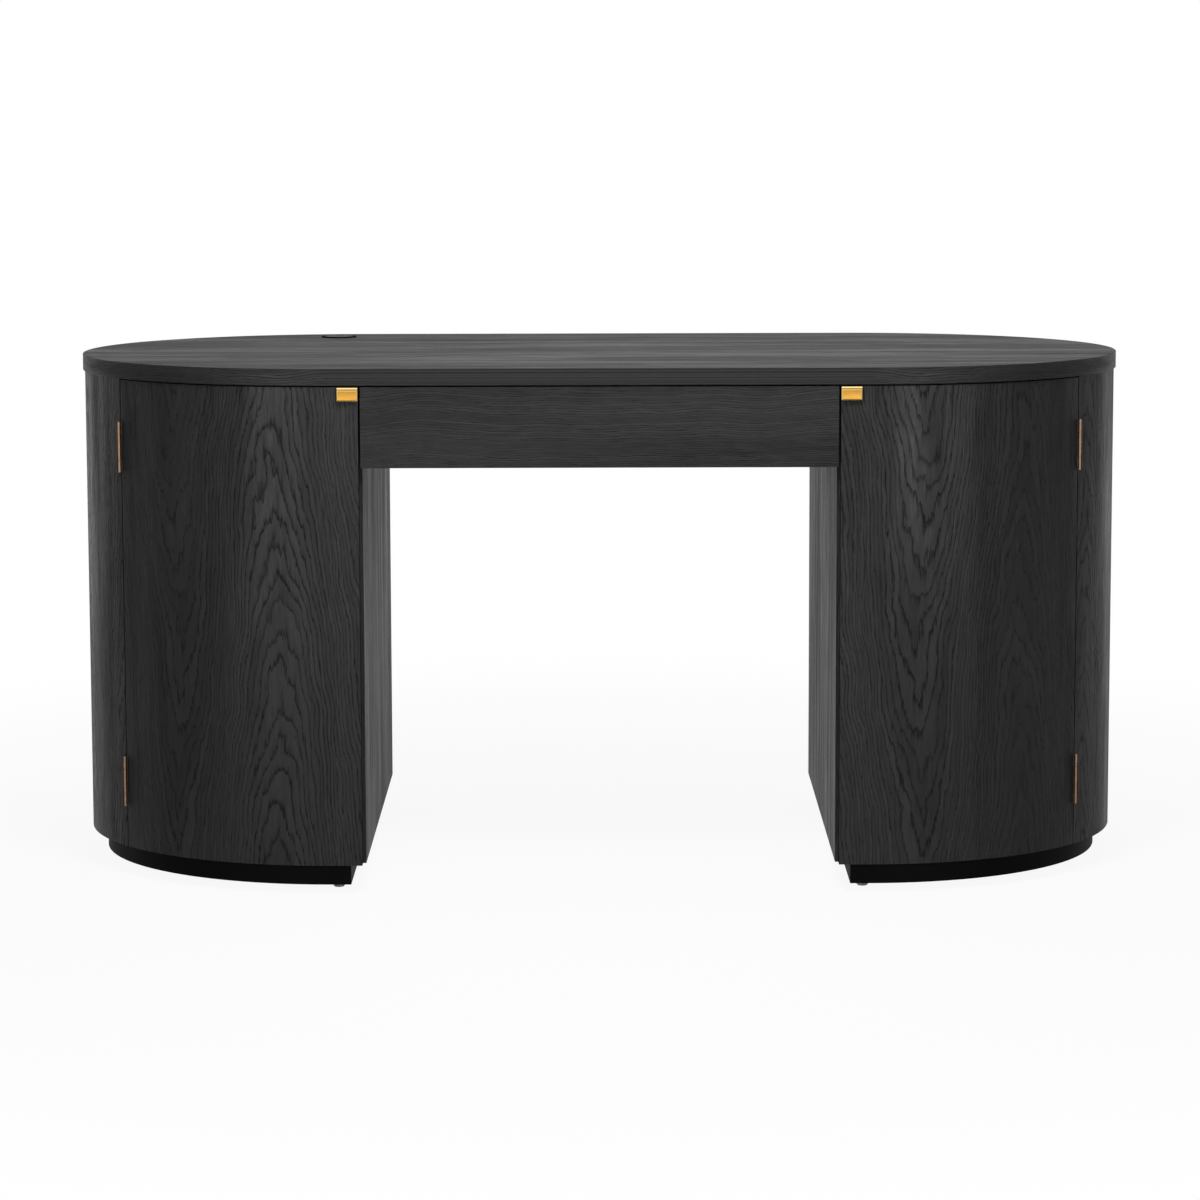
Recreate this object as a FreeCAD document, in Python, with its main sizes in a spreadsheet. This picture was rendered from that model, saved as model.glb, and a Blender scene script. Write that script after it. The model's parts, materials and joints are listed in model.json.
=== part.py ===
import FreeCAD, Part
import math
import os
import types

import Sketcher
from FreeCAD import Placement, Rotation, Vector

# An executive desk: an oval top on two D-shaped pedestals with bent doors, and a drawer between them.
# It stands on the floor at Z = 0 and faces -Y, with its middle at X = 0 and Y = 0.
# Lengths are in millimetres and angles in degrees. Handed pieces are drawn on the right and mirrored.

DIMENSIONS = {
    # Whole desk
    "desk_length": 1600,
    "desk_depth": 800,
    "desk_height": 780,
    "top_thickness": 25,
    "top_edge_bevel": 1.2,
    "top_overhang": 3,
    "pedestal_straight": 52,
    # Boards
    "inner_panel_thickness": 20,
    "curved_panel_thickness": 20,
    "door_thickness": 20,
    "panel_thickness": 18,
    "panel_fit": 0.3,
    "front_edge_bevel": 0.8,
    "stile_width": 30,
    "stile_depth": 30,
    "apron_height": 121,
    "apron_thickness": 20,
    # Gaps around the doors and the drawer front
    "door_back_gap": 1,
    "door_top_gap": 2,
    "front_gap": 3,
    "drawer_overlay": 2,
    # Shelf
    "shelf_height": 330,
    "shelf_setback": 32,
    "shelf_fit": 1.5,
    "shelf_pin_radius": 2.5,
    "shelf_pin_set": 10,
    "shelf_pin_proud": 8,
    "shelf_pin_spread": 250,
    "shelf_pin_side_angle": 90,
    "shelf_pin_back_angle": 145,
    # Plinth and glides
    "plinth_height": 33,
    "plinth_inset": 23,
    "plinth_thickness": 12,
    "block_length": 50,
    "block_depth": 30,
    "glide_radius": 9,
    "glide_height": 10,
    # Butt hinges
    "hinge_angle": 53.2,
    "hinge_gap": 2,
    "hinge_proud": 4.25,
    "hinge_length": 76,
    "hinge_set_in": 63,
    "barrel_radius": 3.25,
    "barrel_clearance": 0.45,
    "knuckle_clearance": 0.15,
    "hinge_pin_radius": 1.55,
    "hinge_pin_clearance": 0.05,
    "leaf_thickness": 1.6,
    "leaf_back_margin": 2.25,
    "leaf_clearance": 0.2,
    # Pulls
    "pull_width": 30,
    "pull_height": 20.4,
    "pull_proud": 8,
    "pull_thickness": 2.5,
    "pull_inner_bend_radius": 0.7,
    "pull_set": 15,
    # Magnetic catches
    "catch_depth": 18,
    "catch_height": 12,
    "catch_side_gap": 2,
    "strike_thickness": 1.2,
    "strike_gap": 0.3,
    # Drawer
    "drawer_front_height": 119,
    "drawer_front_thickness": 20,
    "finger_cove_radius": 12,
    "drawer_box_rise": 16,
    "drawer_box_drop": 13,
    "drawer_box_depth": 450,
    "drawer_side_thickness": 12,
    "drawer_side_rounding": 3,
    "drawer_bottom_thickness": 6,
    "drawer_bottom_rise": 8,
    "groove_depth": 6,
    "groove_play": 0.2,
    "drawer_travel": 400,
    # Telescopic slides
    "slide_height": 45.7,
    "slide_thickness": 12.7,
    "slide_length": 450,
    "slide_setback": 4,
    "slide_sheet": 1.2,
    "slide_bend_radius": 2,
    "slide_flange": 9.6,
    "slide_lip": 2.5,
    "slide_member_gap": 0.6,
    "ball_diameter": 3,
    "ball_clearance": 0.05,
    "cage_side_play": 1,
    "cage_end_play": 50,
    # Dowels
    "dowel_radius": 4,
    "dowel_length": 30,
    "dowel_set": 12,
    "drawer_dowel_length": 20,
    # Cable grommet in the top's left end, and the outlet in the back of the left pedestal
    "grommet_outset": 25,
    "grommet_back_inset": 80,
    "grommet_hole_radius": 25,
    "grommet_flange_overlap": 3.5,
    "grommet_flange_height": 2,
    "grommet_wall": 2,
    "grommet_ledge": 2.4,
    "grommet_fit": 0.2,
    "grommet_relief": 3,
    "cap_thickness": 3,
    "cap_notch_radius": 8,
    "outlet_radius": 25,
    "outlet_height": 120,
    "outlet_offset": 60,
}

# Shares of the sizes that places follow
knuckle_shares = (0.25, 0.75)
apron_dowel_shares = (0.25, 0.75)
drawer_dowel_width_shares = (-0.75, 0.75)
top_dowel_depth_share = 0.7
top_dowel_side_share = 0.6

# Planes of a sketch, its origin as constraints name it, and the two ways round an arc
PLANES = {"XY": "XY_Plane", "XZ": "XZ_Plane", "YZ": "YZ_Plane"}
ORIGIN_POINT = (-1, 1)
LEFT = 1
RIGHT = -1

# Turns that point a piece's own Z another way
ABOUT_X = Vector(1, 0, 0)
ABOUT_Y = Vector(0, 1, 0)
ABOUT_Z = Vector(0, 0, 1)
QUARTER_TURN = 90
TOWARDS_MINUS_X = (ABOUT_Y, -QUARTER_TURN)
TOWARDS_PLUS_Y = (ABOUT_X, -QUARTER_TURN)
TOWARDS_MINUS_Y = (ABOUT_X, QUARTER_TURN)
PEG_SIDES = 12


class Size:
    """A number together with the formula that the document keeps for it."""

    def __init__(self, number, formula):
        self.number = float(number)
        self.formula = formula

    def __add__(self, other):
        other = as_size(other)
        return Size(self.number + other.number, f"({self.formula} + {other.formula})")

    def __sub__(self, other):
        other = as_size(other)
        return Size(self.number - other.number, f"({self.formula} - {other.formula})")

    def __mul__(self, other):
        other = as_size(other)
        return Size(self.number * other.number, f"({self.formula} * {other.formula})")

    def __truediv__(self, other):
        other = as_size(other)
        return Size(self.number / other.number, f"({self.formula} / {other.formula})")

    def __neg__(self):
        return Size(-self.number, f"(0 - {self.formula})")


def as_size(value):
    """A plain number as a size, and a size as it is."""
    if isinstance(value, Size):
        return value
    return Size(value, f"{value:.9g}" if value >= 0 else f"(0 - {-value:.9g})")


def sine(angle):
    """The sine of an angle in degrees."""
    return Size(math.sin(math.radians(angle.number)), f"sin({angle.formula})")


def cosine(angle):
    """The cosine of an angle in degrees."""
    return Size(math.cos(math.radians(angle.number)), f"cos({angle.formula})")


def root(size):
    """The square root of a size."""
    return Size(math.sqrt(size.number), f"sqrt({size.formula})")


doc = FreeCAD.newDocument("executive_desk")
sheet = doc.addObject("Spreadsheet::Sheet", "Sizes")
for row, (alias, number) in enumerate(DIMENSIONS.items(), start=1):
    sheet.set(f"A{row}", alias.replace("_", " "))
    sheet.set(f"B{row}", str(number))
    sheet.setAlias(f"B{row}", alias)
doc.recompute()
S = types.SimpleNamespace(
    **{alias: Size(sheet.get(alias), f"Sizes.{alias}") for alias in DIMENSIONS}
)
ZERO = as_size(0)

# Places and radii that several pieces share
top_radius = S.desk_depth / 2
centre_x = S.desk_length / 2 - top_radius
body_radius = top_radius - S.top_overhang
door_back_radius = body_radius - S.door_thickness
carcass_radius = door_back_radius - S.door_back_gap
curved_inner_radius = body_radius - S.curved_panel_thickness
fitted_radius = curved_inner_radius - S.panel_fit
under_top = S.desk_height - S.top_thickness
plinth_top = S.glide_height + S.plinth_height
floor_panel_top = plinth_top + S.panel_thickness
top_panel_low = under_top - S.panel_thickness
front_top = under_top - S.door_top_gap
kneehole_half = centre_x - S.pedestal_straight
inner_panel_outside = kneehole_half + S.inner_panel_thickness
drawer_front_half = kneehole_half + S.drawer_overlay
door_inner_edge = drawer_front_half + S.front_gap
drawer_front_low = front_top - S.drawer_front_height
drawer_box_low = drawer_front_low + S.drawer_box_rise
drawer_box_top = front_top - S.drawer_box_drop
drawer_middle_z = (drawer_box_low + drawer_box_top) / 2
slide_front_y = S.slide_setback - carcass_radius
grommet_x = -centre_x - S.grommet_outset
grommet_y = top_radius - S.grommet_back_inset
grommet_flange_radius = S.grommet_hole_radius + S.grommet_flange_overlap

kept = {}


def keep(label, piece):
    """Give a finished piece its name, which is also its file's name."""
    piece.Label = label
    kept[label] = piece
    return piece


def put(thing, x, y, z, axis=ABOUT_Z, angle=ZERO):
    """Place a thing by formulas, turned by an angle about a fixed axis."""
    angle = as_size(angle)
    thing.Placement = Placement(
        Vector(as_size(x).number, as_size(y).number, as_size(z).number),
        Rotation(axis, angle.number),
    )
    for letter, size in zip("xyz", (x, y, z)):
        thing.setExpression(f"Placement.Base.{letter}", as_size(size).formula)
    thing.setExpression("Placement.Rotation.Angle", angle.formula)
    return thing


def arc_between(start, end, radius, turn):
    """The shorter arc of this radius from start to end; a left turn runs anticlockwise."""
    chord = end - start
    height = math.sqrt(max(radius**2 - (chord.Length / 2) ** 2, 0))
    sideways = Vector(-chord.y, chord.x, 0).normalize() * height * turn
    centre = (start + end) / 2 + sideways
    circle = Part.Circle(centre, ABOUT_Z, radius)
    first, last = (start, end) if turn == LEFT else (end, start)
    return Part.ArcOfCircle(circle, circle.parameter(first), circle.parameter(last))


def draw_outline(sketch, corners):
    """Draw a closed outline. A corner is x, y and, where an arc follows it, the arc's radius and turn."""
    ends = []
    constraints = []
    formulas = {}
    for index, corner in enumerate(corners):
        following = corners[(index + 1) % len(corners)]
        start = Vector(corner[0].number, corner[1].number, 0)
        end = Vector(following[0].number, following[1].number, 0)
        if len(corner) == 2:
            sketch.addGeometry(Part.LineSegment(start, end))
            ends.append((1, 2))
            continue
        radius, turn = corner[2:]
        sketch.addGeometry(arc_between(start, end, radius.number, turn))
        ends.append((1, 2) if turn == LEFT else (2, 1))
        formulas[len(constraints)] = radius.formula
        constraints.append(Sketcher.Constraint("Radius", index, radius.number))
    for index, corner in enumerate(corners):
        before = (index - 1) % len(corners)
        point = (index, ends[index][0])
        constraints.append(Sketcher.Constraint("Coincident", before, ends[before][1], *point))
        for kind, size in (("DistanceX", corner[0]), ("DistanceY", corner[1])):
            formulas[len(constraints)] = size.formula
            constraints.append(Sketcher.Constraint(kind, *ORIGIN_POINT, *point, size.number))
    sketch.addConstraint(constraints)
    for index, formula in formulas.items():
        sketch.setExpression(f"Constraints[{index}]", formula)


def new_body(name, plane, start, corners):
    """A body with one sketch on a plane of its own origin, lifted to start along that plane's normal."""
    body = doc.addObject("PartDesign::Body", name)
    sketch = body.newObject("Sketcher::SketchObject", name + "_outline")
    for feature in body.Origin.OriginFeatures:
        if feature.Role == PLANES[plane]:
            sketch.AttachmentSupport = [(feature, "")]
    sketch.MapMode = "FlatFace"
    sketch.AttachmentOffset = Placement(Vector(0, 0, start.number), Rotation())
    sketch.setExpression("AttachmentOffset.Base.z", start.formula)
    draw_outline(sketch, corners)
    return body, sketch


def board(name, plane, low, high, corners):
    """A body padded from low to high along the axis that is square to its outline."""
    start = -high if plane == "XZ" else low
    body, sketch = new_body(name, plane, start, corners)
    pad = body.newObject("PartDesign::Pad", name + "_pad")
    pad.Profile = sketch
    pad.setExpression("Length", (high - low).formula)
    sketch.Visibility = False
    return body


def turned(name, corners):
    """A body turned about Z from half its section, given as radius and height."""
    body, sketch = new_body(name, "XZ", ZERO, corners)
    revolution = body.newObject("PartDesign::Revolution", name + "_turn")
    revolution.Profile = sketch
    revolution.ReferenceAxis = (sketch, ["V_Axis"])
    sketch.Visibility = False
    return body


def bevel_edges(body, size, chosen):
    """Bevel the edges of a body's last feature that the test picks."""
    doc.recompute()
    last = body.Tip
    names = [
        f"Edge{number}" for number, edge in enumerate(last.Shape.Edges, start=1) if chosen(edge)
    ]
    bevel = body.newObject("PartDesign::Chamfer", body.Name + "_bevel")
    bevel.Base = (last, names)
    bevel.setExpression("Size", size.formula)
    return body


def lies_at(edge, axis, size):
    """Whether a whole edge lies in the plane where x, y or z equals this size."""
    box = edge.BoundBox
    low, high = getattr(box, axis + "Min"), getattr(box, axis + "Max")
    return max(abs(low - size.number), abs(high - size.number)) < S.panel_fit.number / 2


def box(name, low, high):
    """A plain box from its low corner to its high corner."""
    block = doc.addObject("Part::Box", name)
    for side, start, end in zip(("Length", "Width", "Height"), low, high):
        block.setExpression(side, (as_size(end) - as_size(start)).formula)
    return put(block, *low)


def rod(name, radius, length, x=ZERO, y=ZERO, z=ZERO, axis=ABOUT_Z, angle=0):
    """A plain cylinder that starts at a point and runs along Z before it is turned."""
    cylinder = doc.addObject("Part::Cylinder", name)
    cylinder.setExpression("Radius", radius.formula)
    cylinder.setExpression("Height", length.formula)
    return put(cylinder, x, y, z, axis, angle)


def peg(name, radius, length, x=ZERO, z=ZERO, axis=ABOUT_Z, angle=0):
    """A hidden peg with flats on it, like a fluted dowel; otherwise it is made as a rod is."""
    prism = doc.addObject("Part::Prism", name)
    prism.Polygon = PEG_SIDES
    prism.setExpression("Circumradius", radius.formula)
    prism.setExpression("Height", length.formula)
    return put(prism, x, ZERO, z, axis, angle)


def cut(name, base, *tools):
    """A piece with other shapes taken out of it."""
    tool = tools[0]
    if len(tools) > 1:
        tool = doc.addObject("Part::Compound", name + "_tools")
        tool.Links = list(tools)
    result = doc.addObject("Part::Cut", name)
    result.Base = base
    result.Tool = tool
    return result


def fuse(name, pieces):
    """Several shapes grown into one solid."""
    result = doc.addObject("Part::MultiFuse", name)
    result.Shapes = pieces
    result.Refine = True
    return result


def copies(name, source, places):
    """A group of copies of one piece, each at x, y, z and turned by an angle about an axis."""
    links = []
    for number, place in enumerate(places, start=1):
        link = doc.addObject("App::Link", f"{name}_{number}")
        link.LinkedObject = source
        link.LinkTransform = True
        links.append(put(link, *place))
    group = doc.addObject("Part::Compound", name)
    group.Links = links
    return group


def mirrored(name, source):
    """The left-hand twin of a right-hand piece."""
    twin = doc.addObject("Part::Mirroring", name)
    twin.Source = source
    twin.Normal = Vector(1, 0, 0)
    return twin


def keep_pair(label, piece):
    """Keep a right-hand piece and its mirrored twin."""
    keep(label + "_right", piece)
    keep(label + "_left", mirrored(label + "_mirrored", piece))


def hinge_point(radius, aside):
    """A point on a circle about the pedestal's centre, set aside from the hinge plane."""
    out = root(radius * radius - aside * aside)
    x = centre_x + out * sine(S.hinge_angle) + aside * cosine(S.hinge_angle)
    y = aside * sine(S.hinge_angle) - out * cosine(S.hinge_angle)
    return x, y


def d_outline(inside_x, front_radius, back_radius, step_aside):
    """A pedestal's D: a flat inner side, a front part and, past the hinge plane, a fuller back part."""
    step = hinge_point(front_radius, step_aside)
    return [
        (inside_x, -front_radius),
        (centre_x, -front_radius, front_radius, LEFT),
        step,
        (*hinge_point(back_radius, step_aside), back_radius, LEFT),
        (centre_x + back_radius, ZERO, back_radius, LEFT),
        (centre_x, back_radius),
        (inside_x, back_radius),
    ]


def make_desktop():
    """The oval top, with its edges eased and a hole for the cable grommet."""
    corners = [
        (-centre_x, -top_radius),
        (centre_x, -top_radius, top_radius, LEFT),
        (centre_x + top_radius, ZERO, top_radius, LEFT),
        (centre_x, top_radius),
        (-centre_x, top_radius, top_radius, LEFT),
        (-centre_x - top_radius, ZERO, top_radius, LEFT),
    ]
    slab = board("desktop_slab", "XY", under_top, S.desk_height, corners)
    bevel_edges(slab, S.top_edge_bevel, lambda edge: lies_at(edge, "Z", S.desk_height))
    hole = rod(
        "desktop_grommet_hole",
        S.grommet_hole_radius,
        S.top_thickness * 2,
        grommet_x,
        grommet_y,
        under_top - S.top_thickness / 2,
    )
    keep("desktop", cut("desktop_bored", slab, hole))


def make_grommet():
    """A turned liner with a ledge, and a cap with a cable notch that rests on the ledge."""
    flange_top = S.desk_height + S.grommet_flange_height
    outer = S.grommet_hole_radius - S.grommet_fit
    recess = outer - S.grommet_wall
    ledge = recess - S.grommet_ledge
    ledge_top = flange_top - S.cap_thickness
    low = under_top - S.grommet_relief
    liner = turned(
        "grommet_liner_turned",
        [
            (ledge, low),
            (outer, low),
            (outer, S.desk_height),
            (grommet_flange_radius, S.desk_height),
            (grommet_flange_radius, flange_top),
            (recess, flange_top),
            (recess, ledge_top),
            (ledge, ledge_top),
        ],
    )
    keep("grommet_liner", put(liner, grommet_x, grommet_y, 0))
    cap_radius = recess - S.grommet_fit
    disc = turned(
        "grommet_cap_turned",
        [
            (ZERO, ledge_top),
            (cap_radius, ledge_top),
            (cap_radius, flange_top),
            (ZERO, flange_top),
        ],
    )
    put(disc, grommet_x, grommet_y, 0)
    notch = rod(
        "grommet_cap_notch",
        S.cap_notch_radius,
        S.cap_thickness * 2,
        grommet_x,
        grommet_y + ledge,
        ledge_top - S.cap_thickness / 2,
    )
    keep("grommet_cap", cut("grommet_cap_notched", disc, notch))


def shelf_pin_places():
    """Where the right shelf's pins stand: two in the inner panel and two in the bent one."""
    height = plinth_top + S.shelf_height - S.shelf_pin_radius
    places = [
        (inner_panel_outside, spread, height, ABOUT_Z, ZERO)
        for spread in (-S.shelf_pin_spread, S.shelf_pin_spread)
    ]
    for angle in (S.shelf_pin_side_angle, S.shelf_pin_back_angle):
        x = centre_x + curved_inner_radius * sine(angle)
        y = -curved_inner_radius * cosine(angle)
        places.append((x, y, height, ABOUT_Z, angle + QUARTER_TURN))
    return places


def leaf_reach(board_thickness):
    """How far a hinge leaf reaches from the pin's axis into a board of this thickness."""
    return S.hinge_proud + board_thickness - S.leaf_back_margin


def mortises(name, board_thickness):
    """The two recesses that a board's hinge leaves lie in, cut across the hinge plane."""
    depth = S.leaf_clearance / 2 + S.leaf_thickness
    end = (depth, leaf_reach(board_thickness), S.hinge_length)
    recess = box(name + "_box", (-depth, ZERO, ZERO), end)
    return copies(name, recess, hinge_places())


def hinge_places():
    """Where the right door's hinges stand: the lower end of each pin, turned to the hinge plane."""
    x, y = hinge_point(body_radius + S.hinge_proud, ZERO)
    lower = plinth_top + S.hinge_set_in
    upper = front_top - S.hinge_set_in - S.hinge_length
    return [(x, y, z, ABOUT_Z, S.hinge_angle) for z in (lower, upper)]


def make_leaf(name, low_x, board_thickness, knuckles):
    """One leaf of a butt hinge in its own frame: pin axis on Z, plate running inwards along Y."""
    high_x = low_x + S.leaf_thickness
    clear = S.barrel_radius + S.barrel_clearance
    plate_end = (high_x, leaf_reach(board_thickness), S.hinge_length)
    pieces = [box(name + "_plate", (low_x, clear, ZERO), plate_end)]
    web_start = S.barrel_radius / 2
    for number, (start, end) in enumerate(knuckles):
        pieces.append(rod(f"{name}_knuckle_{number}", S.barrel_radius, end - start, z=start))
        web = box(f"{name}_web_{number}", (low_x, web_start, start), (high_x, clear, end))
        pieces.append(web)
    bore_radius = S.hinge_pin_radius + S.hinge_pin_clearance
    bore = rod(name + "_bore", bore_radius, S.hinge_length * 2, z=-S.hinge_length / 2)
    return cut(name, fuse(name + "_blank", pieces), bore)


def make_hinges():
    """Two three-knuckle butt hinges a door: a fixed leaf, a door leaf and a pin."""
    lower_joint = S.hinge_length * knuckle_shares[0]
    upper_joint = S.hinge_length * knuckle_shares[1]
    half = S.knuckle_clearance / 2
    outer_knuckles = [(ZERO, lower_joint - half), (upper_joint + half, S.hinge_length)]
    middle_knuckle = [(lower_joint + half, upper_joint - half)]
    near = S.leaf_clearance / 2
    fixed_leaf = make_leaf("fixed_leaf", near, S.curved_panel_thickness, outer_knuckles)
    door_leaf = make_leaf(
        "door_leaf", -near - S.leaf_thickness, S.door_thickness, middle_knuckle
    )
    pin = rod("hinge_pin", S.hinge_pin_radius, S.hinge_length)
    places = hinge_places()
    keep_pair("hinge_fixed_leaves", copies("fixed_leaves", fixed_leaf, places))
    keep_pair("hinge_door_leaves", copies("door_leaves", door_leaf, places))
    keep_pair("hinge_pins", copies("pins", pin, places))


def make_pedestals():
    """The boards of both pedestals, drawn on the right."""
    inner = box(
        "inner_panel_board",
        (kneehole_half, -carcass_radius, plinth_top),
        (inner_panel_outside, body_radius, under_top),
    )
    keep_pair("inner_panel", inner)

    gap = S.hinge_gap / 2
    bent = board(
        "curved_panel_bent",
        "XY",
        plinth_top,
        under_top,
        [
            (*hinge_point(body_radius, gap), body_radius, LEFT),
            (centre_x + body_radius, ZERO, body_radius, LEFT),
            (centre_x, body_radius),
            (inner_panel_outside, body_radius),
            (inner_panel_outside, curved_inner_radius),
            (centre_x, curved_inner_radius, curved_inner_radius, RIGHT),
            (centre_x + curved_inner_radius, ZERO, curved_inner_radius, RIGHT),
            hinge_point(curved_inner_radius, gap),
        ],
    )
    recesses = mortises("fixed_mortises", S.curved_panel_thickness)
    bent = cut("curved_panel_recessed", bent, recesses)
    keep("curved_panel_right", bent)
    outlet = rod(
        "cable_outlet",
        S.outlet_radius,
        body_radius,
        -centre_x - S.outlet_offset,
        body_radius,
        S.outlet_height,
        *TOWARDS_MINUS_Y,
    )
    whole_twin = mirrored("curved_panel_mirrored", bent)
    keep("curved_panel_left", cut("curved_panel_with_outlet", whole_twin, outlet))

    carcass = d_outline(inner_panel_outside, carcass_radius, fitted_radius, ZERO)
    floor_panel = board("bottom_panel_board", "XY", plinth_top, floor_panel_top, carcass)
    keep_pair("bottom_panel", floor_panel)
    ceiling = board("top_panel_board", "XY", top_panel_low, under_top, carcass)
    keep("top_panel_right", ceiling)
    cable_way = rod(
        "top_panel_cable_way",
        grommet_flange_radius,
        S.panel_thickness * 2,
        grommet_x,
        grommet_y,
        top_panel_low - S.panel_thickness / 2,
    )
    ceiling_twin = mirrored("top_panel_mirrored", ceiling)
    keep("top_panel_left", cut("top_panel_with_cable_way", ceiling_twin, cable_way))

    stile_inside = fitted_radius - S.stile_depth
    stile = board(
        "hinge_stile_board",
        "XY",
        floor_panel_top,
        top_panel_low,
        [
            hinge_point(stile_inside, gap),
            (*hinge_point(fitted_radius, gap), fitted_radius, LEFT),
            hinge_point(fitted_radius, gap + S.stile_width),
            hinge_point(stile_inside, gap + S.stile_width),
        ],
    )
    keep_pair("hinge_stile", stile)

    shelf_low = plinth_top + S.shelf_height
    shelf = board(
        "shelf_board",
        "XY",
        shelf_low,
        shelf_low + S.panel_thickness,
        d_outline(
            inner_panel_outside + S.shelf_fit,
            carcass_radius - S.shelf_setback,
            curved_inner_radius - S.shelf_fit,
            gap + S.stile_width + S.shelf_fit,
        ),
    )
    keep_pair("shelf", shelf)


def make_shelf_pins():
    """Plain pins: set in the walls, and proud of them under the shelves."""
    pin = peg(
        "shelf_pin",
        S.shelf_pin_radius,
        S.shelf_pin_set + S.shelf_pin_proud,
        -S.shelf_pin_set,
        axis=ABOUT_Y,
        angle=QUARTER_TURN,
    )
    right = copies("shelf_pins_of_right", pin, shelf_pin_places())
    both = doc.addObject("Part::Compound", "shelf_pins_of_both")
    both.Links = [right, mirrored("shelf_pins_of_left", right)]
    keep("shelf_pins", both)


def make_plinths():
    """The recessed plinths: a bent board, a straight inner board, blocks in the corners and glides."""
    outer = body_radius - S.plinth_inset
    inner = outer - S.plinth_thickness
    inside_x = kneehole_half + S.plinth_inset
    board_back_x = inside_x + S.plinth_thickness
    bent = board(
        "plinth_bent",
        "XY",
        S.glide_height,
        plinth_top,
        [
            (inside_x, -outer),
            (centre_x, -outer, outer, LEFT),
            (centre_x + outer, ZERO, outer, LEFT),
            (centre_x, outer),
            (inside_x, outer),
            (inside_x, inner),
            (centre_x, inner, inner, RIGHT),
            (centre_x + inner, ZERO, inner, RIGHT),
            (centre_x, -inner),
            (inside_x, -inner),
        ],
    )
    keep_pair("plinth_curved", bent)
    straight = box(
        "plinth_straight", (inside_x, -inner, S.glide_height), (board_back_x, inner, plinth_top)
    )
    keep_pair("plinth_inner", straight)

    half_block = S.block_length / 2
    corner_x = (board_back_x + centre_x) / 2
    corner_y = inner - half_block
    outer_block_x = centre_x + root(inner * inner - half_block * half_block) - S.panel_fit
    outer_glide_x = outer_block_x - S.block_depth / 2
    glide_spots = [(corner_x, -corner_y), (corner_x, corner_y), (outer_glide_x, ZERO)]
    corners = [
        ((board_back_x, -inner), (centre_x, -inner + S.block_length)),
        ((board_back_x, inner - S.block_length), (centre_x, inner)),
        ((outer_block_x - S.block_depth, -half_block), (outer_block_x, half_block)),
    ]
    glide = rod("glide_disc", S.glide_radius, S.glide_height)
    spots = [(x, y, ZERO) for x, y in glide_spots]
    right_glides = copies("glides_of_right", glide, spots)
    blocks = [
        box(f"plinth_block_{number}", (*low, S.glide_height), (*high, plinth_top))
        for number, (low, high) in enumerate(corners, start=1)
    ]
    right_blocks = doc.addObject("Part::Compound", "plinth_blocks_of_right")
    right_blocks.Links = blocks
    for label, right in (("glides", right_glides), ("plinth_blocks", right_blocks)):
        both = doc.addObject("Part::Compound", label + "_of_both")
        both.Links = [right, mirrored(label + "_of_left", right)]
        keep(label, both)


def make_doors():
    """The bent doors with their pulls and strike plates."""
    gap = S.hinge_gap / 2
    leaf = board(
        "door_bent",
        "XY",
        plinth_top,
        front_top,
        [
            (door_inner_edge, -body_radius),
            (centre_x, -body_radius, body_radius, LEFT),
            hinge_point(body_radius, -gap),
            (*hinge_point(door_back_radius, -gap), door_back_radius, RIGHT),
            (centre_x, -door_back_radius),
            (door_inner_edge, -door_back_radius),
        ],
    )

    def on_face(edge):
        """Whether an edge bounds the door's outer face."""
        ends = [vertex.Point for vertex in edge.Vertexes]
        reach = [
            abs(math.hypot(max(point.x - centre_x.number, 0), point.y) - body_radius.number)
            for point in ends
        ]
        return max(reach) < S.panel_fit.number

    bevel_edges(leaf, S.front_edge_bevel, on_face)
    recess = box(
        "pull_recess",
        (
            door_inner_edge - S.front_gap,
            -body_radius - S.pull_thickness,
            front_top - S.pull_thickness,
        ),
        (
            door_inner_edge + S.pull_width,
            S.pull_set - body_radius,
            front_top + S.pull_thickness,
        ),
    )
    recesses = mortises("door_mortises", S.door_thickness)
    keep_pair("door", cut("door_recessed", leaf, recesses, recess))

    front_y = -body_radius - S.pull_proud
    low = front_top - S.pull_height
    inner_bend = S.pull_inner_bend_radius
    bend = inner_bend + S.pull_thickness
    tab = board(
        "pull_bent",
        "YZ",
        door_inner_edge,
        door_inner_edge + S.pull_width,
        [
            (front_y, low),
            (front_y + S.pull_thickness, low),
            (front_y + S.pull_thickness, front_top - bend, inner_bend, RIGHT),
            (front_y + bend, front_top - S.pull_thickness),
            (S.pull_set - body_radius, front_top - S.pull_thickness),
            (S.pull_set - body_radius, front_top),
            (front_y + bend, front_top, bend, LEFT),
            (front_y, front_top - bend),
        ],
    )
    keep_pair("pull", tab)

    # The catch and its strike plate share the flat stretch between the inner panel and the bend
    start_x = inner_panel_outside + S.catch_side_gap
    end_x = centre_x - S.catch_side_gap
    strike_y = S.strike_thickness - door_back_radius
    strike = box(
        "strike_plate_blank",
        (start_x, -door_back_radius, top_panel_low - S.catch_height),
        (end_x, strike_y, top_panel_low),
    )
    keep_pair("strike_plate", strike)
    catch_y = strike_y + S.strike_gap
    catch = box(
        "catch_case",
        (start_x, catch_y, top_panel_low - S.catch_height),
        (end_x, catch_y + S.catch_depth, top_panel_low),
    )
    keep_pair("door_catch", catch)


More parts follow.
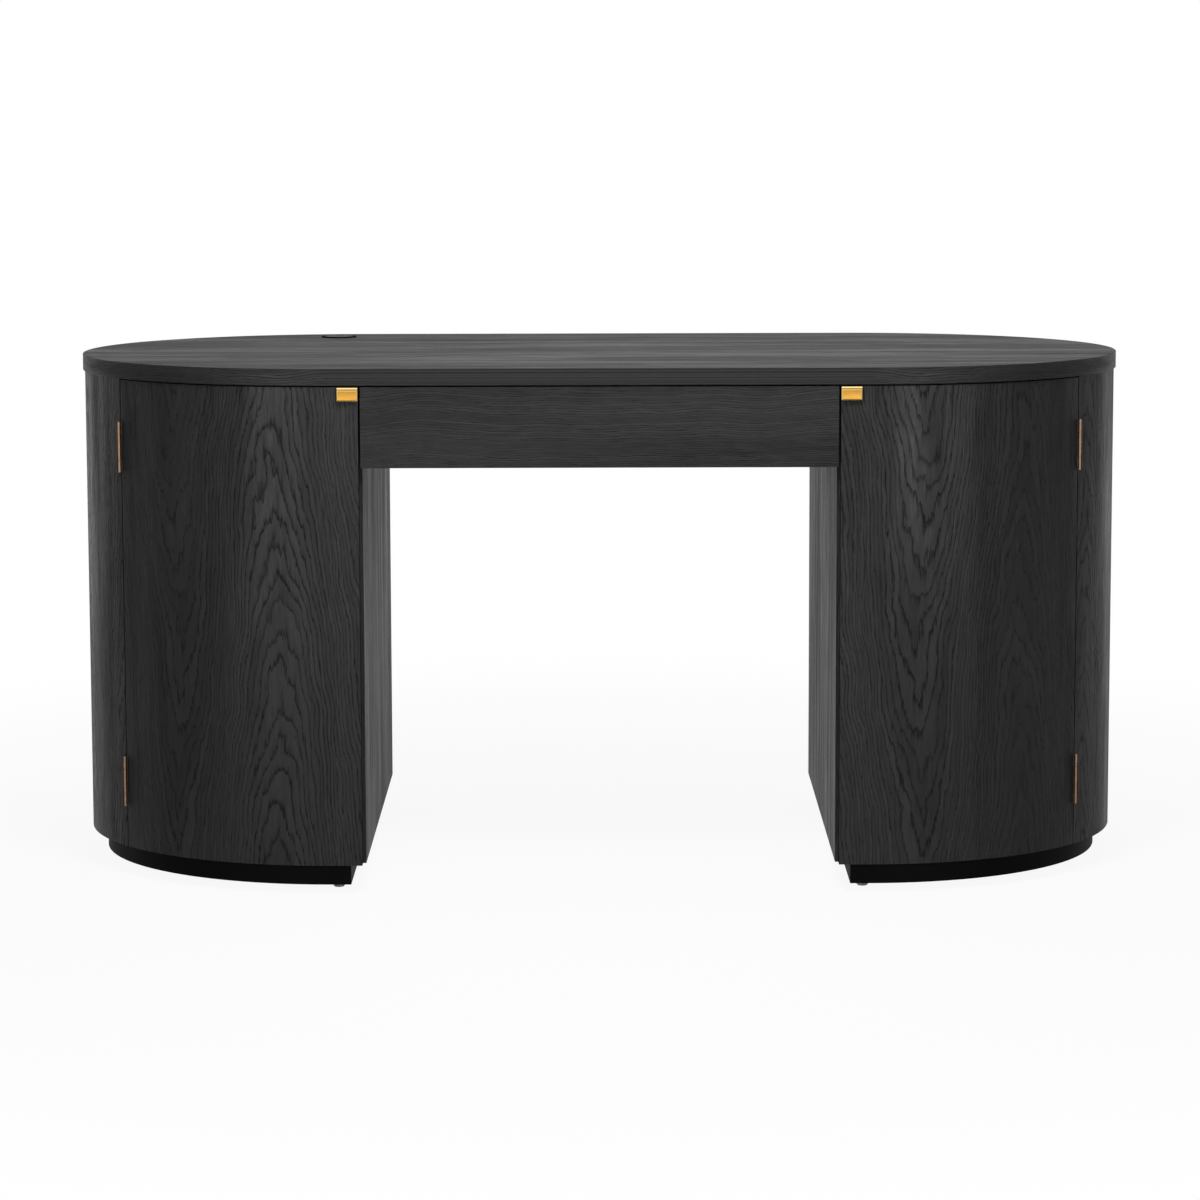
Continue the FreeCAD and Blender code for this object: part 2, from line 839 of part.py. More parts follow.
def channel(name, web_x, open_x, half_height, lip=None):
    """A pressed slide member along Y: a web, two flanges and, on the cabinet member, lips."""
    side = 1 if open_x.number > web_x.number else -1
    sheet_x = S.slide_sheet * side
    bend_x = S.slide_bend_radius * side
    top = drawer_middle_z + half_height
    low = drawer_middle_z - half_height
    bend = S.slide_bend_radius
    turn = LEFT if side == 1 else RIGHT
    flange_low = [(open_x, low), (open_x, low + S.slide_sheet)]
    flange_top = [(open_x, top - S.slide_sheet), (open_x, top)]
    if lip:
        lip_x = open_x - sheet_x
        flange_low = [
            (open_x, low),
            (open_x, low + lip),
            (lip_x, low + lip),
            (lip_x, low + S.slide_sheet),
        ]
        flange_top = [
            (lip_x, top - S.slide_sheet),
            (lip_x, top - lip),
            (open_x, top - lip),
            (open_x, top),
        ]
    corners = [
        (web_x + bend_x, low),
        *flange_low,
        (web_x + sheet_x, low + S.slide_sheet),
        (web_x + sheet_x, top - S.slide_sheet),
        *flange_top,
        (web_x + bend_x, top, bend, turn),
        (web_x, top - bend),
        (web_x, low + bend, bend, turn),
    ]
    return board(name, "XZ", slide_front_y, slide_front_y + S.slide_length, corners)


def make_slides():
    """Telescopic slides: cabinet, middle and drawer members that run on caged balls."""
    race = S.ball_diameter + S.ball_clearance * 2
    outer_half = S.slide_height / 2
    middle_half = outer_half - S.slide_sheet - race
    drawer_half = middle_half - S.slide_sheet - race
    middle_web = kneehole_half - S.slide_sheet - S.slide_member_gap
    drawer_face = kneehole_half - S.slide_thickness
    member_reach = S.slide_flange - S.slide_sheet
    drawer_open = middle_web - S.slide_sheet - S.slide_member_gap

    cabinet = channel(
        "cabinet_member_pressed",
        kneehole_half,
        kneehole_half - S.slide_flange,
        outer_half,
        S.slide_lip,
    )
    keep_pair("slide_cabinet_member", cabinet)

    middle = channel("middle_member_pressed", middle_web, middle_web - member_reach, middle_half)
    keep_pair("slide_middle_member", middle)

    inner = channel("drawer_member_pressed", drawer_face, drawer_open, drawer_half)
    keep_pair("slide_drawer_member", inner)

    # Each cage of balls is drawn as one bar that is as high as the balls. It stays inside the stretch
    # that two members share when the drawer is out, and it is at their middle when the drawer is shut.
    cage_width = member_reach - S.slide_member_gap - S.slide_sheet - S.cage_side_play
    cage_length = S.slide_length - S.drawer_travel / 2 - S.cage_end_play * 2
    cage = box(
        "ball_cage",
        (-cage_width / 2, ZERO, -S.ball_diameter / 2),
        (cage_width / 2, cage_length, S.ball_diameter / 2),
    )
    cage_y = slide_front_y + (S.slide_length - cage_length) / 2
    to_ball = S.slide_sheet + race / 2
    rows = (
        ("slide_outer_cages", middle_web, outer_half - to_ball),
        ("slide_inner_cages", drawer_open, middle_half - to_ball),
    )
    for label, start_x, height in rows:
        x = start_x - cage_width / 2
        places = [
            (x * side, cage_y, drawer_middle_z + height * way)
            for side in (1, -1)
            for way in (1, -1)
        ]
        keep(label, copies(label + "_set", cage, places))


def make_drawer():
    """The wide drawer: a front with a finger cove, and a grooved box with a loose bottom."""
    back_y = S.drawer_front_thickness - body_radius
    cove = S.finger_cove_radius
    front = board(
        "drawer_front_board",
        "YZ",
        -drawer_front_half,
        drawer_front_half,
        [
            (-body_radius, drawer_front_low),
            (back_y - cove, drawer_front_low, cove, RIGHT),
            (back_y, drawer_front_low + cove),
            (back_y, front_top),
            (-body_radius, front_top),
        ],
    )
    bevel_edges(front, S.front_edge_bevel, lambda edge: lies_at(edge, "Y", -body_radius))
    keep("drawer_front", front)

    outside = kneehole_half - S.slide_thickness
    inside = outside - S.drawer_side_thickness
    low = drawer_box_low
    top = drawer_box_top
    bottom_low = low + S.drawer_bottom_rise
    bottom_top = bottom_low + S.drawer_bottom_thickness
    groove_top = bottom_top + S.groove_play
    rounding = S.drawer_side_rounding
    end_y = back_y + S.drawer_box_depth
    side = board(
        "drawer_side_board",
        "XZ",
        back_y,
        end_y,
        [
            (inside, low),
            (outside, low),
            (outside, top - rounding, rounding, LEFT),
            (outside - rounding, top),
            (inside + rounding, top, rounding, LEFT),
            (inside, top - rounding),
            (inside, groove_top),
            (inside + S.groove_depth, groove_top),
            (inside + S.groove_depth, bottom_low),
            (inside, bottom_low),
        ],
    )
    keep_pair("drawer_side", side)
    front_inside = back_y + S.drawer_side_thickness
    sub_front = board(
        "drawer_box_front_board",
        "YZ",
        -inside,
        inside,
        [
            (back_y, low),
            (front_inside, low),
            (front_inside, bottom_low),
            (front_inside - S.groove_depth, bottom_low),
            (front_inside - S.groove_depth, groove_top),
            (front_inside, groove_top),
            (front_inside, top),
            (back_y, top),
        ],
    )
    keep("drawer_box_front", sub_front)
    back = box(
        "drawer_back_board",
        (-inside, end_y - S.drawer_side_thickness, bottom_top),
        (inside, end_y, top),
    )
    keep("drawer_back", back)
    reach = S.groove_depth - S.groove_play
    bottom = box(
        "drawer_bottom_board",
        (-inside - reach, front_inside - reach, bottom_low),
        (inside + reach, end_y, bottom_top),
    )
    keep("drawer_bottom", bottom)
    half = S.drawer_dowel_length / 2
    dowel = peg("drawer_dowel", S.dowel_radius, S.drawer_dowel_length, z=-half)
    places = [
        (inside * across, back_y, drawer_middle_z, *TOWARDS_PLUS_Y)
        for across in drawer_dowel_width_shares
    ]
    keep("drawer_front_dowels", copies("drawer_front_dowel_pair", dowel, places))


def make_apron_and_dowels():
    """The rear rail of the kneehole, and the dowels that hold it and the desktop."""
    low = under_top - S.apron_height
    front_y = body_radius - S.apron_thickness
    apron = box(
        "rear_apron_board", (-kneehole_half, front_y, low), (kneehole_half, body_radius, under_top)
    )
    keep("rear_apron", apron)
    dowel = peg("carcass_dowel", S.dowel_radius, S.dowel_length, z=-S.dowel_set)
    middle_y = body_radius - S.apron_thickness / 2
    into_apron = [
        (kneehole_half, middle_y, low + S.apron_height * share, *TOWARDS_MINUS_X)
        for share in apron_dowel_shares
    ]
    depth = carcass_radius * top_dowel_depth_share
    spots = [
        (centre_x, -depth),
        (centre_x, depth),
        (centre_x + carcass_radius * top_dowel_side_share, ZERO),
    ]
    into_top = [(x, y, under_top) for x, y in spots]
    right = doc.addObject("Part::Compound", "carcass_dowels_of_right")
    right.Links = [
        copies("apron_dowels", dowel, into_apron),
        copies("top_dowels", dowel, into_top),
    ]
    both = doc.addObject("Part::Compound", "carcass_dowels_of_both")
    both.Links = [right, mirrored("carcass_dowels_of_left", right)]
    keep("carcass_dowels", both)


make_desktop()
make_grommet()
make_pedestals()
make_shelf_pins()
make_plinths()
make_hinges()
make_doors()
make_slides()
make_drawer()
make_apron_and_dowels()

doc.recompute()
for thing in doc.Objects:
    if "Invalid" in thing.State or "Error" in thing.State:
        raise RuntimeError(f"{thing.Name} ({thing.Label}) failed: {thing.State}")
for label, piece in kept.items():
    if piece.Shape.isNull() or not piece.Shape.isValid() or not piece.Shape.Solids:
        raise RuntimeError(f"{label} has no sound solid")

os.makedirs("parts", exist_ok=True)
for label, piece in kept.items():
    piece.Shape.exportStep(f"parts/{label}.step")
print(len(kept), "pieces written")
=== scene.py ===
"""Dresses an oval executive desk: its veneers, metals and fittings, and a white studio around it.

Lengths are in metres in the desk's own frame: it stands on Z = 0 and faces -Y. Places and outlines
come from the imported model, and the other sizes are properties or named values here.
"""

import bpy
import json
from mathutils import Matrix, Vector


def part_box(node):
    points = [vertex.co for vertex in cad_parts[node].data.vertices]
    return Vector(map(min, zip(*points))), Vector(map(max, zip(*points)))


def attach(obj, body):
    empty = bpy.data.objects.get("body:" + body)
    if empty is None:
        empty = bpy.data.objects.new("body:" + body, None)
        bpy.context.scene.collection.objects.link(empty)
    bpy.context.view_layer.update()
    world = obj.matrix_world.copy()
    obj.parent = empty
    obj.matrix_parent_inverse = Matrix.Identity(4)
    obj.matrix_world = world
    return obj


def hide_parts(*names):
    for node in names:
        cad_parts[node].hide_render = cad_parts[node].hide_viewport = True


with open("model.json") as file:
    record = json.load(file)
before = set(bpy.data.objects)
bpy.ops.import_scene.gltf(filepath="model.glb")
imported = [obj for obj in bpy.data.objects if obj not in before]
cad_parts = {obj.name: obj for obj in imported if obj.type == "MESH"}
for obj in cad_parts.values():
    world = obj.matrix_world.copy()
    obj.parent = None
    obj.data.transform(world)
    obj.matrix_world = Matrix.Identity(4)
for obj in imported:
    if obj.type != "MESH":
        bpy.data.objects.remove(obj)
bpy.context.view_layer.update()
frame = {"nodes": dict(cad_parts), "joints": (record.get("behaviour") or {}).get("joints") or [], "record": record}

import json
import math

import bmesh
import bpy
from bpy.props import FloatProperty, PointerProperty, StringProperty
from mathutils import Matrix, Vector

bl_info = {
    "name": "Oval executive desk",
    "version": (1, 0, 0),
    "blender": (4, 5, 0),
    "location": "3D View > Sidebar > Desk",
    "description": "Veneers, metals and fittings of an oval executive desk, and its studio",
    "category": "Object",
}

MM = 0.001
TOUCHING = MM / 1000
SIDES = {"right": 1, "left": -1}
BODY_OF = {
    node: body
    for body, nodes in frame["record"]["behaviour"]["bodies"].items()
    for node in nodes
}
JOINT = {joint["name"]: joint for joint in frame["joints"]}

# Places of the oval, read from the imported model
TOP_LOW, TOP_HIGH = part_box("desktop")
TOP_RADIUS = TOP_HIGH.y
CENTRE_X = TOP_HIGH.x - TOP_RADIUS
BODY_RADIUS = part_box("curved_panel_right")[1].y
HINGE = Vector(JOINT["right_door_hinge"]["pos_m"])
HINGE_ANGLE = math.atan2(HINGE.x - CENTRE_X, -HINGE.y)

# Small sizes of the fittings
GROMMET_LEDGE = 2.4 * MM
GROMMET_PLAY = 0.2 * MM
GROMMET_ROUNDING = 0.6 * MM
LID_NOTCH_RADIUS = 8 * MM
LID_EASING = 0.4 * MM
PULL_SCREW_INSET = 5.5 * MM
PULL_SCREW_RADIUS = 2.2 * MM
STRIKE_SCREW_RADIUS = 2.4 * MM
LEAF_FACE = 0.1 * MM
POLE_THICKNESS = 1.6 * MM
POLE_MARGIN = 3 * MM
POLE_PROUD = 0.12 * MM
RETAINER_THICKNESS = 0.5 * MM

# Shares of the sizes that places follow: a hinge leaf's length and reach, the width or height that
# carries a pair, a glide's radius and a hinge pin's radius
leaf_screw_length_shares = (0.13, 0.5, 0.87)
leaf_screw_reach_shares = (0.5, 0.68, 0.5)
pair_shares = (0.25, 0.75)
glide_dome_share = 0.45
barrel_share = 2.3

# A countersunk screw head in shares of its radius: radius and height along its profile, and the
# reach, half width, depth and overrun of the cross cut into it
screw_profile_shares = (
    (0.0, -0.5), (0.45, -0.5), (0.95, -0.06), (1.0, 0.0), (0.93, 0.03), (0.0, 0.03)
)
screw_cross_shares = (0.62, 0.11, 0.28, 0.2)

# How far a face may lean, as a share of its normal, and still count as looking one way
UPWARDS = 0.7
TOP_UPWARDS = 0.5
OUTWARDS = 0.6
EASED_OUTWARDS = 0.8
SQUARE = 0.97
SLANTED = 0.3

# The turn between two faces below which they count as one, and from which they meet in a corner
FLAT = math.radians(0.5)
CREASE = math.radians(35)
ROUND_PART_CREASE = math.radians(40)

# How bright the painted highlight along a hinge's barrel is, and how dark the painted shade on the rest of it is
BARREL_HIGHLIGHT = 0.9
BARREL_SHADE = 0.75

# The studio's lamps, each with its width and height, its place and the kind of ray that misses it;
# those at the sides stand on the right and, mirrored, on the left
LAMPS = (
    ("front", (0.5, 0.5), (0.0, -1.3, 1.75), "glossy"),
    ("top", (3.0, 3.0), (0.4, -0.4, 3.4), None),
    ("back", (2.4, 2.4), (0.0, 4.0, 1.8), "glossy"),
)
SIDE_LAMPS = (
    ("sheen", (0.7, 0.7), (1.65, -3.2, 0.8), "diffuse"),
    ("rim", (1.2, 0.7), (2.2, 2.4, 0.4), None),
    ("end", (1.2, 1.2), (2.4, 1.2, 0.9), "glossy"),
)

# How far the floor and the camera's sight reach, and the camera's sensor in millimetres
FLOOR_REACH = 12.0
CAMERA_REACH = 100.0
SENSOR_WIDTH = 36.0


class DeskSizes(bpy.types.PropertyGroup):
    """Sizes that the finish repeats from the model, or adds to it."""

    arc_step: FloatProperty(
        name="Arc step",
        description="Turn between neighbouring points of a large arc",
        default=math.radians(1.5),
        unit="ROTATION",
    )
    top_easing: FloatProperty(
        name="Top easing",
        description="Width of the eased edge round the desktop",
        default=1.2 * MM,
        unit="LENGTH",
    )
    front_easing: FloatProperty(
        name="Front easing",
        description="Width of the eased edges of doors, panels and the drawer front",
        default=0.4 * MM,
        unit="LENGTH",
    )
    board_easing: FloatProperty(
        name="Board easing",
        description="Width of the eased edges of plinths, shelves and hidden boards",
        default=0.5 * MM,
        unit="LENGTH",
    )
    metal_easing: FloatProperty(
        name="Metal easing",
        description="Width of the broken edges of plates and pins; pulls and poles have half of it",
        default=0.25 * MM,
        unit="LENGTH",
    )
    board_thickness: FloatProperty(
        name="Bent board thickness",
        description="Thickness of the doors and the bent panels",
        default=20 * MM,
        unit="LENGTH",
    )
    hinge_gap: FloatProperty(
        name="Hinge gap",
        description="Gap between a door and the bent panel behind it",
        default=2 * MM,
        unit="LENGTH",
    )
    mortise_depth: FloatProperty(
        name="Mortise depth",
        description="Depth of a hinge leaf's recess from the middle of the hinge gap",
        default=1.7 * MM,
        unit="LENGTH",
    )
    leaf_reach: FloatProperty(
        name="Leaf reach",
        description="How far a hinge leaf runs inwards from its pin",
        default=22 * MM,
        unit="LENGTH",
    )
    hinge_length: FloatProperty(
        name="Hinge length",
        description="Length of one hinge along its pin",
        default=76 * MM,
        unit="LENGTH",
    )
    knuckle_easing: FloatProperty(
        name="Knuckle easing",
        description="Width of the eased edges of a hinge's leaves and knuckles",
        default=0.5 * MM,
        unit="LENGTH",
    )
    # Where a hinge's barrel carries its painted highlight, as a turn from straight outwards
    hinge_highlight_turn: FloatProperty(
        name="Hinge wear",
        description="Turn from straight outwards to where a hinge's barrel is rubbed brightest",
        default=math.radians(80),
        unit="ROTATION",
    )
    plinth_thickness: FloatProperty(
        name="Plinth thickness",
        description="Thickness of the bent plinth board",
        default=12 * MM,
        unit="LENGTH",
    )
    cove_radius: FloatProperty(
        name="Cove radius",
        description="Radius of the finger cove along the drawer front's lower back edge",
        default=12 * MM,
        unit="LENGTH",
    )
    outlet_radius: FloatProperty(
        name="Outlet radius",
        description="Radius of the cable outlet in the left pedestal's back",
        default=25 * MM,
        unit="LENGTH",
    )
    outlet_height: FloatProperty(
        name="Outlet height",
        description="Height of the cable outlet's centre above the floor",
        default=120 * MM,
        unit="LENGTH",
    )
    outlet_offset: FloatProperty(
        name="Outlet offset",
        description="How far the cable outlet stands outside the end's centre",
        default=60 * MM,
        unit="LENGTH",
    )
    grommet_hole_radius: FloatProperty(
        name="Grommet hole radius",
        description="Radius of the hole in the desktop for the cable grommet",
        default=25 * MM,
        unit="LENGTH",
    )
    pull_thickness: FloatProperty(
        name="Pull thickness",
        description="Thickness of the bent brass strip of a pull",
        default=2.5 * MM,
        unit="LENGTH",
    )
    pull_bend_radius: FloatProperty(
        name="Pull bend radius",
        description="Outer radius of the pull's bend",
        default=3.2 * MM,
        unit="LENGTH",
    )
    pull_chamfer: FloatProperty(
        name="Pull chamfer",
        description="Width of the bevel that frames a pull's face",
        default=1.7 * MM,
        unit="LENGTH",
    )
    pull_corner: FloatProperty(
        name="Pull corner",
        description="Radius of a pull's lower corners",
        default=1.2 * MM,
        unit="LENGTH",
    )
    pull_groove: FloatProperty(
        name="Pull groove",
        description="Width of the fine groove below a pull's bend",
        default=0.9 * MM,
        unit="LENGTH",
    )
    screw_head_radius: FloatProperty(
        name="Screw head radius",
        description="Radius of a countersunk screw head",
        default=2.9 * MM,
        unit="LENGTH",
    )
    ball_diameter: FloatProperty(
        name="Ball diameter",
        description="Diameter of the balls in the drawer slides",
        default=3 * MM,
        unit="LENGTH",
    )
    ball_pitch: FloatProperty(
        name="Ball pitch",
        description="Distance between neighbouring balls of a cage",
        default=7.5 * MM,
        unit="LENGTH",
    )


class DeskFinishes(bpy.types.PropertyGroup):
    """Colours of the finishes, as sRGB hex values."""

    ash_ground: StringProperty(
        name="Stained ash", description="Ground colour of the stained veneer", default="#3b3b3b"
    )
    ash_line: StringProperty(
        name="Ash growth lines", description="Colour of the stain in open pores", default="#0c0c0c"
    )
    plinth: StringProperty(
        name="Plinth paint", description="Colour of the painted plinths", default="#0b0b0b"
    )
    birch: StringProperty(
        name="Birch", description="Colour of the lacquered birch drawer", default="#d9bf97"
    )
    beech: StringProperty(
        name="Beech", description="Colour of the beech dowels", default="#c9a276"
    )
    brass: StringProperty(
        name="Brass", description="Colour of the brushed brass pulls", default="#c4913f"
    )
    old_brass: StringProperty(
        name="Antique brass", description="Colour of the darkened brass hinges", default="#57483c"
    )
    zinc: StringProperty(
        name="Zinc plate", description="Colour of the zinc plated steel", default="#a3a6aa"
    )
    plastic: StringProperty(
        name="Black plastic", description="Colour of the moulded grommet", default="#161616"
    )
    nylon: StringProperty(
        name="Nylon", description="Colour of the nylon glides", default="#f1f1ee"
    )
    catch: StringProperty(
        name="Catch plastic", description="Colour of the catch cases", default="#2b2724"
    )


class DeskStage(bpy.types.PropertyGroup):
    """Where the camera stands and how strong the studio light is."""

    lens: FloatProperty(
        name="Focal length",
        description="Focal length of the camera in millimetres on a 36 mm sensor",
        default=121.8,
    )
    camera_distance: FloatProperty(
        name="Camera distance",
        description="Distance of the camera in front of the desk's middle",
        default=6.30944,
        unit="LENGTH",
    )
    camera_height: FloatProperty(
        name="Camera height",
        description="Height of the camera above the floor",
        default=1.20636,
        unit="LENGTH",
    )
    camera_tilt: FloatProperty(
        name="Camera tilt",
        description="How far the camera looks down",
        default=0.12906,
        unit="ROTATION",
    )
    camera_roll: FloatProperty(
        name="Camera roll",
        description="How far the camera leans about its line of sight",
        default=-0.00265,
        unit="ROTATION",
    )
    room_light: FloatProperty(
        name="Room light",
        description="Strength of the even light that the white room gives",
        default=0.1,
    )
    front_light: FloatProperty(
        name="Front light",
        description="Power of the soft lamp close to the front, above the kneehole",
        default=21,
        unit="POWER",
    )
    sheen_light: FloatProperty(
        name="Sheen light",
        description="Power of each low lamp that only lays a sheen on the bent doors",
        default=115,
        unit="POWER",
    )
    top_light: FloatProperty(
        name="Top light",
        description="Power of the large soft lamp above the desk",
        default=20,
        unit="POWER",
    )
    rim_light: FloatProperty(
        name="Rim light",
        description="Power of each low lamp that catches the rounded ends from behind",
        default=3.5,
        unit="POWER",
    )
    end_light: FloatProperty(
        name="End light",
        description="Power of each lamp that fills the rounded ends",
        default=9,
        unit="POWER",
    )
    back_light: FloatProperty(
        name="Back light",
        description="Power of the soft lamp that fills the back",
        default=30,
        unit="POWER",
    )
    floor_shade: FloatProperty(
        name="Floor shade",
        description="Share of the desk's shadow that the white floor keeps",
        default=0.08,
    )


def linear(hex_colour):
    """A hex sRGB colour as linear red, green, blue and alpha."""
    levels = [int(hex_colour[start : start + 2], 16) / 255 for start in (1, 3, 5)]
    return [
        level / 12.92 if level <= 0.04045 else ((level + 0.055) / 1.055) ** 2.4
        for level in levels
    ] + [1.0]


def darker(colour, share):
    """A linear colour with this share of its light."""
    return [level * share for level in colour[:3]] + [1.0]


def grey(level):
    """A plain grey, as a colour or as a ramp's stop that carries a number."""
    return (level, level, level, 1.0)


def add(tree, kind, inputs=(), ramp=(), **options):
    """Adds one node with its options and colour stops. An input is a value, a socket or another node."""
    node = tree.nodes.new(kind)
    for name, value in options.items():
        setattr(node, name, value)
    for place, (position, colour) in enumerate(ramp):
        if place > 1:
            node.color_ramp.elements.new(position)
        node.color_ramp.elements[place].position = position
        node.color_ramp.elements[place].color = colour
    for socket, value in inputs.items() if isinstance(inputs, dict) else enumerate(inputs):
        if isinstance(value, bpy.types.Node):
            value = value.outputs[0]
        if isinstance(value, bpy.types.NodeSocket):
            tree.links.new(value, node.inputs[socket])
        elif value is not None:
            node.inputs[socket].default_value = value
    return node


def sum_of(tree, start, *terms):
    """start plus the product of each pair of terms."""
    total = start
    for first, second in terms:
        total = add(tree, "ShaderNodeMath", [first, second, total], operation="MULTIPLY_ADD")
    return total


def new_material(name):
    """An empty material and its tree."""
    material = bpy.data.materials.new(name)
    material.use_nodes = True
    material.node_tree.nodes.clear()
    return material, material.node_tree


def finish_surface(tree, inputs, height, depth, strength):
    """Ends a tree in one surface, with a relief of this height and depth."""
    relief = add(tree, "ShaderNodeBump", {"Height": height, "Distance": depth, "Strength": strength})
    surface = add(tree, "ShaderNodeBsdfPrincipled", {**inputs, "Normal": relief})
    add(tree, "ShaderNodeOutputMaterial", {"Surface": surface})


def noise_on(tree, place, sizes, detail=2.0, seed=0.0):
    """A noise whose grains have these sizes along the three directions of a place."""
    moved = {"Vector": place, "Scale": [1 / size for size in sizes], "Location": (seed,) * 3}
    stretched = add(tree, "ShaderNodeMapping", moved)
    return add(tree, "ShaderNodeTexNoise", {"Vector": stretched, "Scale": 1.0, "Detail": detail})


def grain_noise(tree, place, wide, long, detail, seed):
    """A noise drawn out along the grain, with marks this wide and this long in millimetres."""
    return noise_on(tree, place, (wide * MM, long * MM, wide * MM), detail, seed)


def ash_veneer(name, finishes, leaf, flare, point, peak, drift, line, tone, seed):
    """Black-stained open-pore ash veneer under matt lacquer.

    The sheet is laid from leaves of one log, every other one turned end for end. Up the middle of a
    leaf the growth rings show as nested arches and at its sides as close straight lines, so a ring's
    number grows with the square of the distance from the middle and evenly along the leaf. The wide
    pores of each spring stay open and take the most stain: they make dark broken lines, set a little
    below the smooth summer wood. Real pores are 0.3 mm wide, too fine to show, so they are drawn
    about 1 mm wide. The board ends in the seams are painted black as shade, so the seams show as black lines.

    leaf is the width of a leaf. flare, point and peak are how far a ring lies from the next at the
    flanks of an arch, beside its tip and along the leaf, drift is how many rings an arch wanders,
    line is how dark a spring shows, and tone how much the ground varies.
    """
    material, tree = new_material(name)
    place = add(tree, "ShaderNodeAttribute", attribute_name="grain").outputs["Vector"]
    cut_end = add(tree, "ShaderNodeAttribute", attribute_name="cut_end").outputs["Fac"]
    across, along = add(tree, "ShaderNodeSeparateXYZ", [place]).outputs[:2]

    # The leaf's number, how far this place is from its swaying middle, and which way it was turned
    leaves = add(tree, "ShaderNodeMath", [across, leaf], operation="DIVIDE")
    number = add(tree, "ShaderNodeMath", [leaves], operation="FLOOR")
    inside = add(tree, "ShaderNodeMath", [leaves], operation="FRACT")
    sway = grain_noise(tree, place, 900, 170, 1.0, seed + 1)
    sway_reach = 36 * MM
    aside = sum_of(tree, (sway_reach - leaf) / 2, (sway, -sway_reach), (inside, leaf))
    odd = add(tree, "ShaderNodeMath", [number, 2.0], operation="FLOORED_MODULO")
    way = sum_of(tree, 1 / peak, (odd, -2 / peak))
    leaf_key = sum_of(tree, seed, (number, 1.0))
    leaf_chance = add(tree, "ShaderNodeTexWhiteNoise", {"W": leaf_key}, noise_dimensions="1D")

    wander = grain_noise(tree, place, 60, 150, 3.0, seed)
    steps = grain_noise(tree, place, 7, 60, 2.0, seed + 2)
    pores = grain_noise(tree, place, 1.7, 22, 2.0, seed + 3)
    dashes = grain_noise(tree, place, 1.1, 11, 1.0, seed + 4)
    broad = grain_noise(tree, place, 42, 480, 2.0, seed + 5)
    mottle = grain_noise(tree, place, 9, 40, 3.0, seed + 6)

    # The ring at this place: each leaf starts up to 7 rings later, and the noises jog it
    slope = sum_of(tree, 0.0, (aside, 1 / flare))
    distance = add(tree, "ShaderNodeMath", [aside], operation="ABSOLUTE")
    arches = ((along, way), (slope, aside), (distance, 1 / point), (leaf_chance, 7.0))
    rings = sum_of(tree, 0.0, *arches, (wander, drift), (steps, 0.8), (pores, 0.55))
    year = add(tree, "ShaderNodeMath", [rings], operation="FLOOR")
    season = add(tree, "ShaderNodeMath", [rings], operation="FRACT")
    # The years of one leaf are counted from 57 after its neighbour's, so that no two look alike
    year_key = sum_of(tree, year, (number, 57.0))
    year_chance = add(tree, "ShaderNodeTexWhiteNoise", {"W": year_key}, noise_dimensions="1D")

    # Each year's line is darkest in early spring, has its own weight and breaks into dashes
    year_stops = ((0.0, 1.0), (0.08, 0.8), (0.24, 0.16), (0.6, 0.0), (0.92, 0.06), (1.0, 1.0))
    year_ramp = [(spot, grey(level)) for spot, level in year_stops]
    spring = add(tree, "ShaderNodeValToRGB", [season], year_ramp)
    broken = add(tree, "ShaderNodeValToRGB", [dashes], [(0.36, grey(0.4)), (0.52, grey(1.0))])
    weight = sum_of(tree, 0.35, (year_chance, 0.65))
    lines = sum_of(tree, 0.0, (sum_of(tree, 0.0, (spring, weight)), broken))

    # 1 shows the ground and 0 the lines; the noises vary the ground about its level
    ground_level = 0.7
    varied = ((year_chance, 0.9), (broad, 1.6), (mottle, 1.1), (pores, 1.5), (steps, 0.7))
    start = ground_level - tone * sum(share for part, share in varied) / 2
    parts = [(part, share * tone) for part, share in varied]
    # The board ends in the seams are painted black as shade
    shade = sum_of(tree, start, (lines, -line), *parts, (cut_end, -1.5))
    ramp = [(0.0, linear(finishes.ash_line)), (1.0, linear(finishes.ash_ground))]
    colour = add(tree, "ShaderNodeValToRGB", [shade], ramp)
    matt = sum_of(tree, 0.9, (steps, -0.3), (broad, -0.5), (lines, 0.2), (cut_end, 1.0))
    relief = sum_of(tree, 0.0, (steps, 0.5), (pores, 0.6), (lines, -1.0))
    inputs = {"Base Color": colour, "Roughness": matt, "Specular IOR Level": 0.06}
    finish_surface(tree, inputs, relief, depth=0.8 * MM, strength=0.8)
    return material


def painted_board(finishes):
    """Fibreboard under matt black paint, sprayed: an even, faintly dimpled skin."""
    material, tree = new_material("matt_black_paint")
    place = add(tree, "ShaderNodeTexCoord").outputs["Object"]
    dimples = noise_on(tree, place, (1.8 * MM,) * 3)
    uneven = noise_on(tree, place, (60 * MM,) * 3)
    inputs = {
        "Base Color": linear(finishes.plinth),
        "Roughness": sum_of(tree, 0.52, (uneven, 0.12)),
        "Specular IOR Level": 0.02,
    }
    finish_surface(tree, inputs, dimples, depth=0.05 * MM, strength=0.4)
    return material


def pale_wood(name, hex_colour, seed, fleck):
    """Planed pale hardwood under clear satin lacquer: soft long grain with short darker flecks."""
    material, tree = new_material(name)
    place = add(tree, "ShaderNodeAttribute", attribute_name="grain").outputs["Vector"]
    bands = grain_noise(tree, place, 9, 260, 3.0, seed)
    fibres = grain_noise(tree, place, 1.2, 30, 2.0, seed + 2)
    flecks = grain_noise(tree, place, 0.9, 5, 1.0, seed + 4)
    dark = add(tree, "ShaderNodeValToRGB", [flecks], [(0.62, grey(0.0)), (0.75, grey(fleck))])
    shade = sum_of(tree, 0.0, (fibres, 0.3), (bands, 0.7), (dark, -1.0))
    pale = linear(hex_colour)
    colour = add(tree, "ShaderNodeValToRGB", [shade], [(0.25, darker(pale, 0.66)), (0.65, pale)])
    inputs = {"Base Color": colour, "Roughness": sum_of(tree, 0.36, (fibres, 0.12))}
    finish_surface(tree, inputs, fibres, depth=0.04 * MM, strength=0.4)
    return material


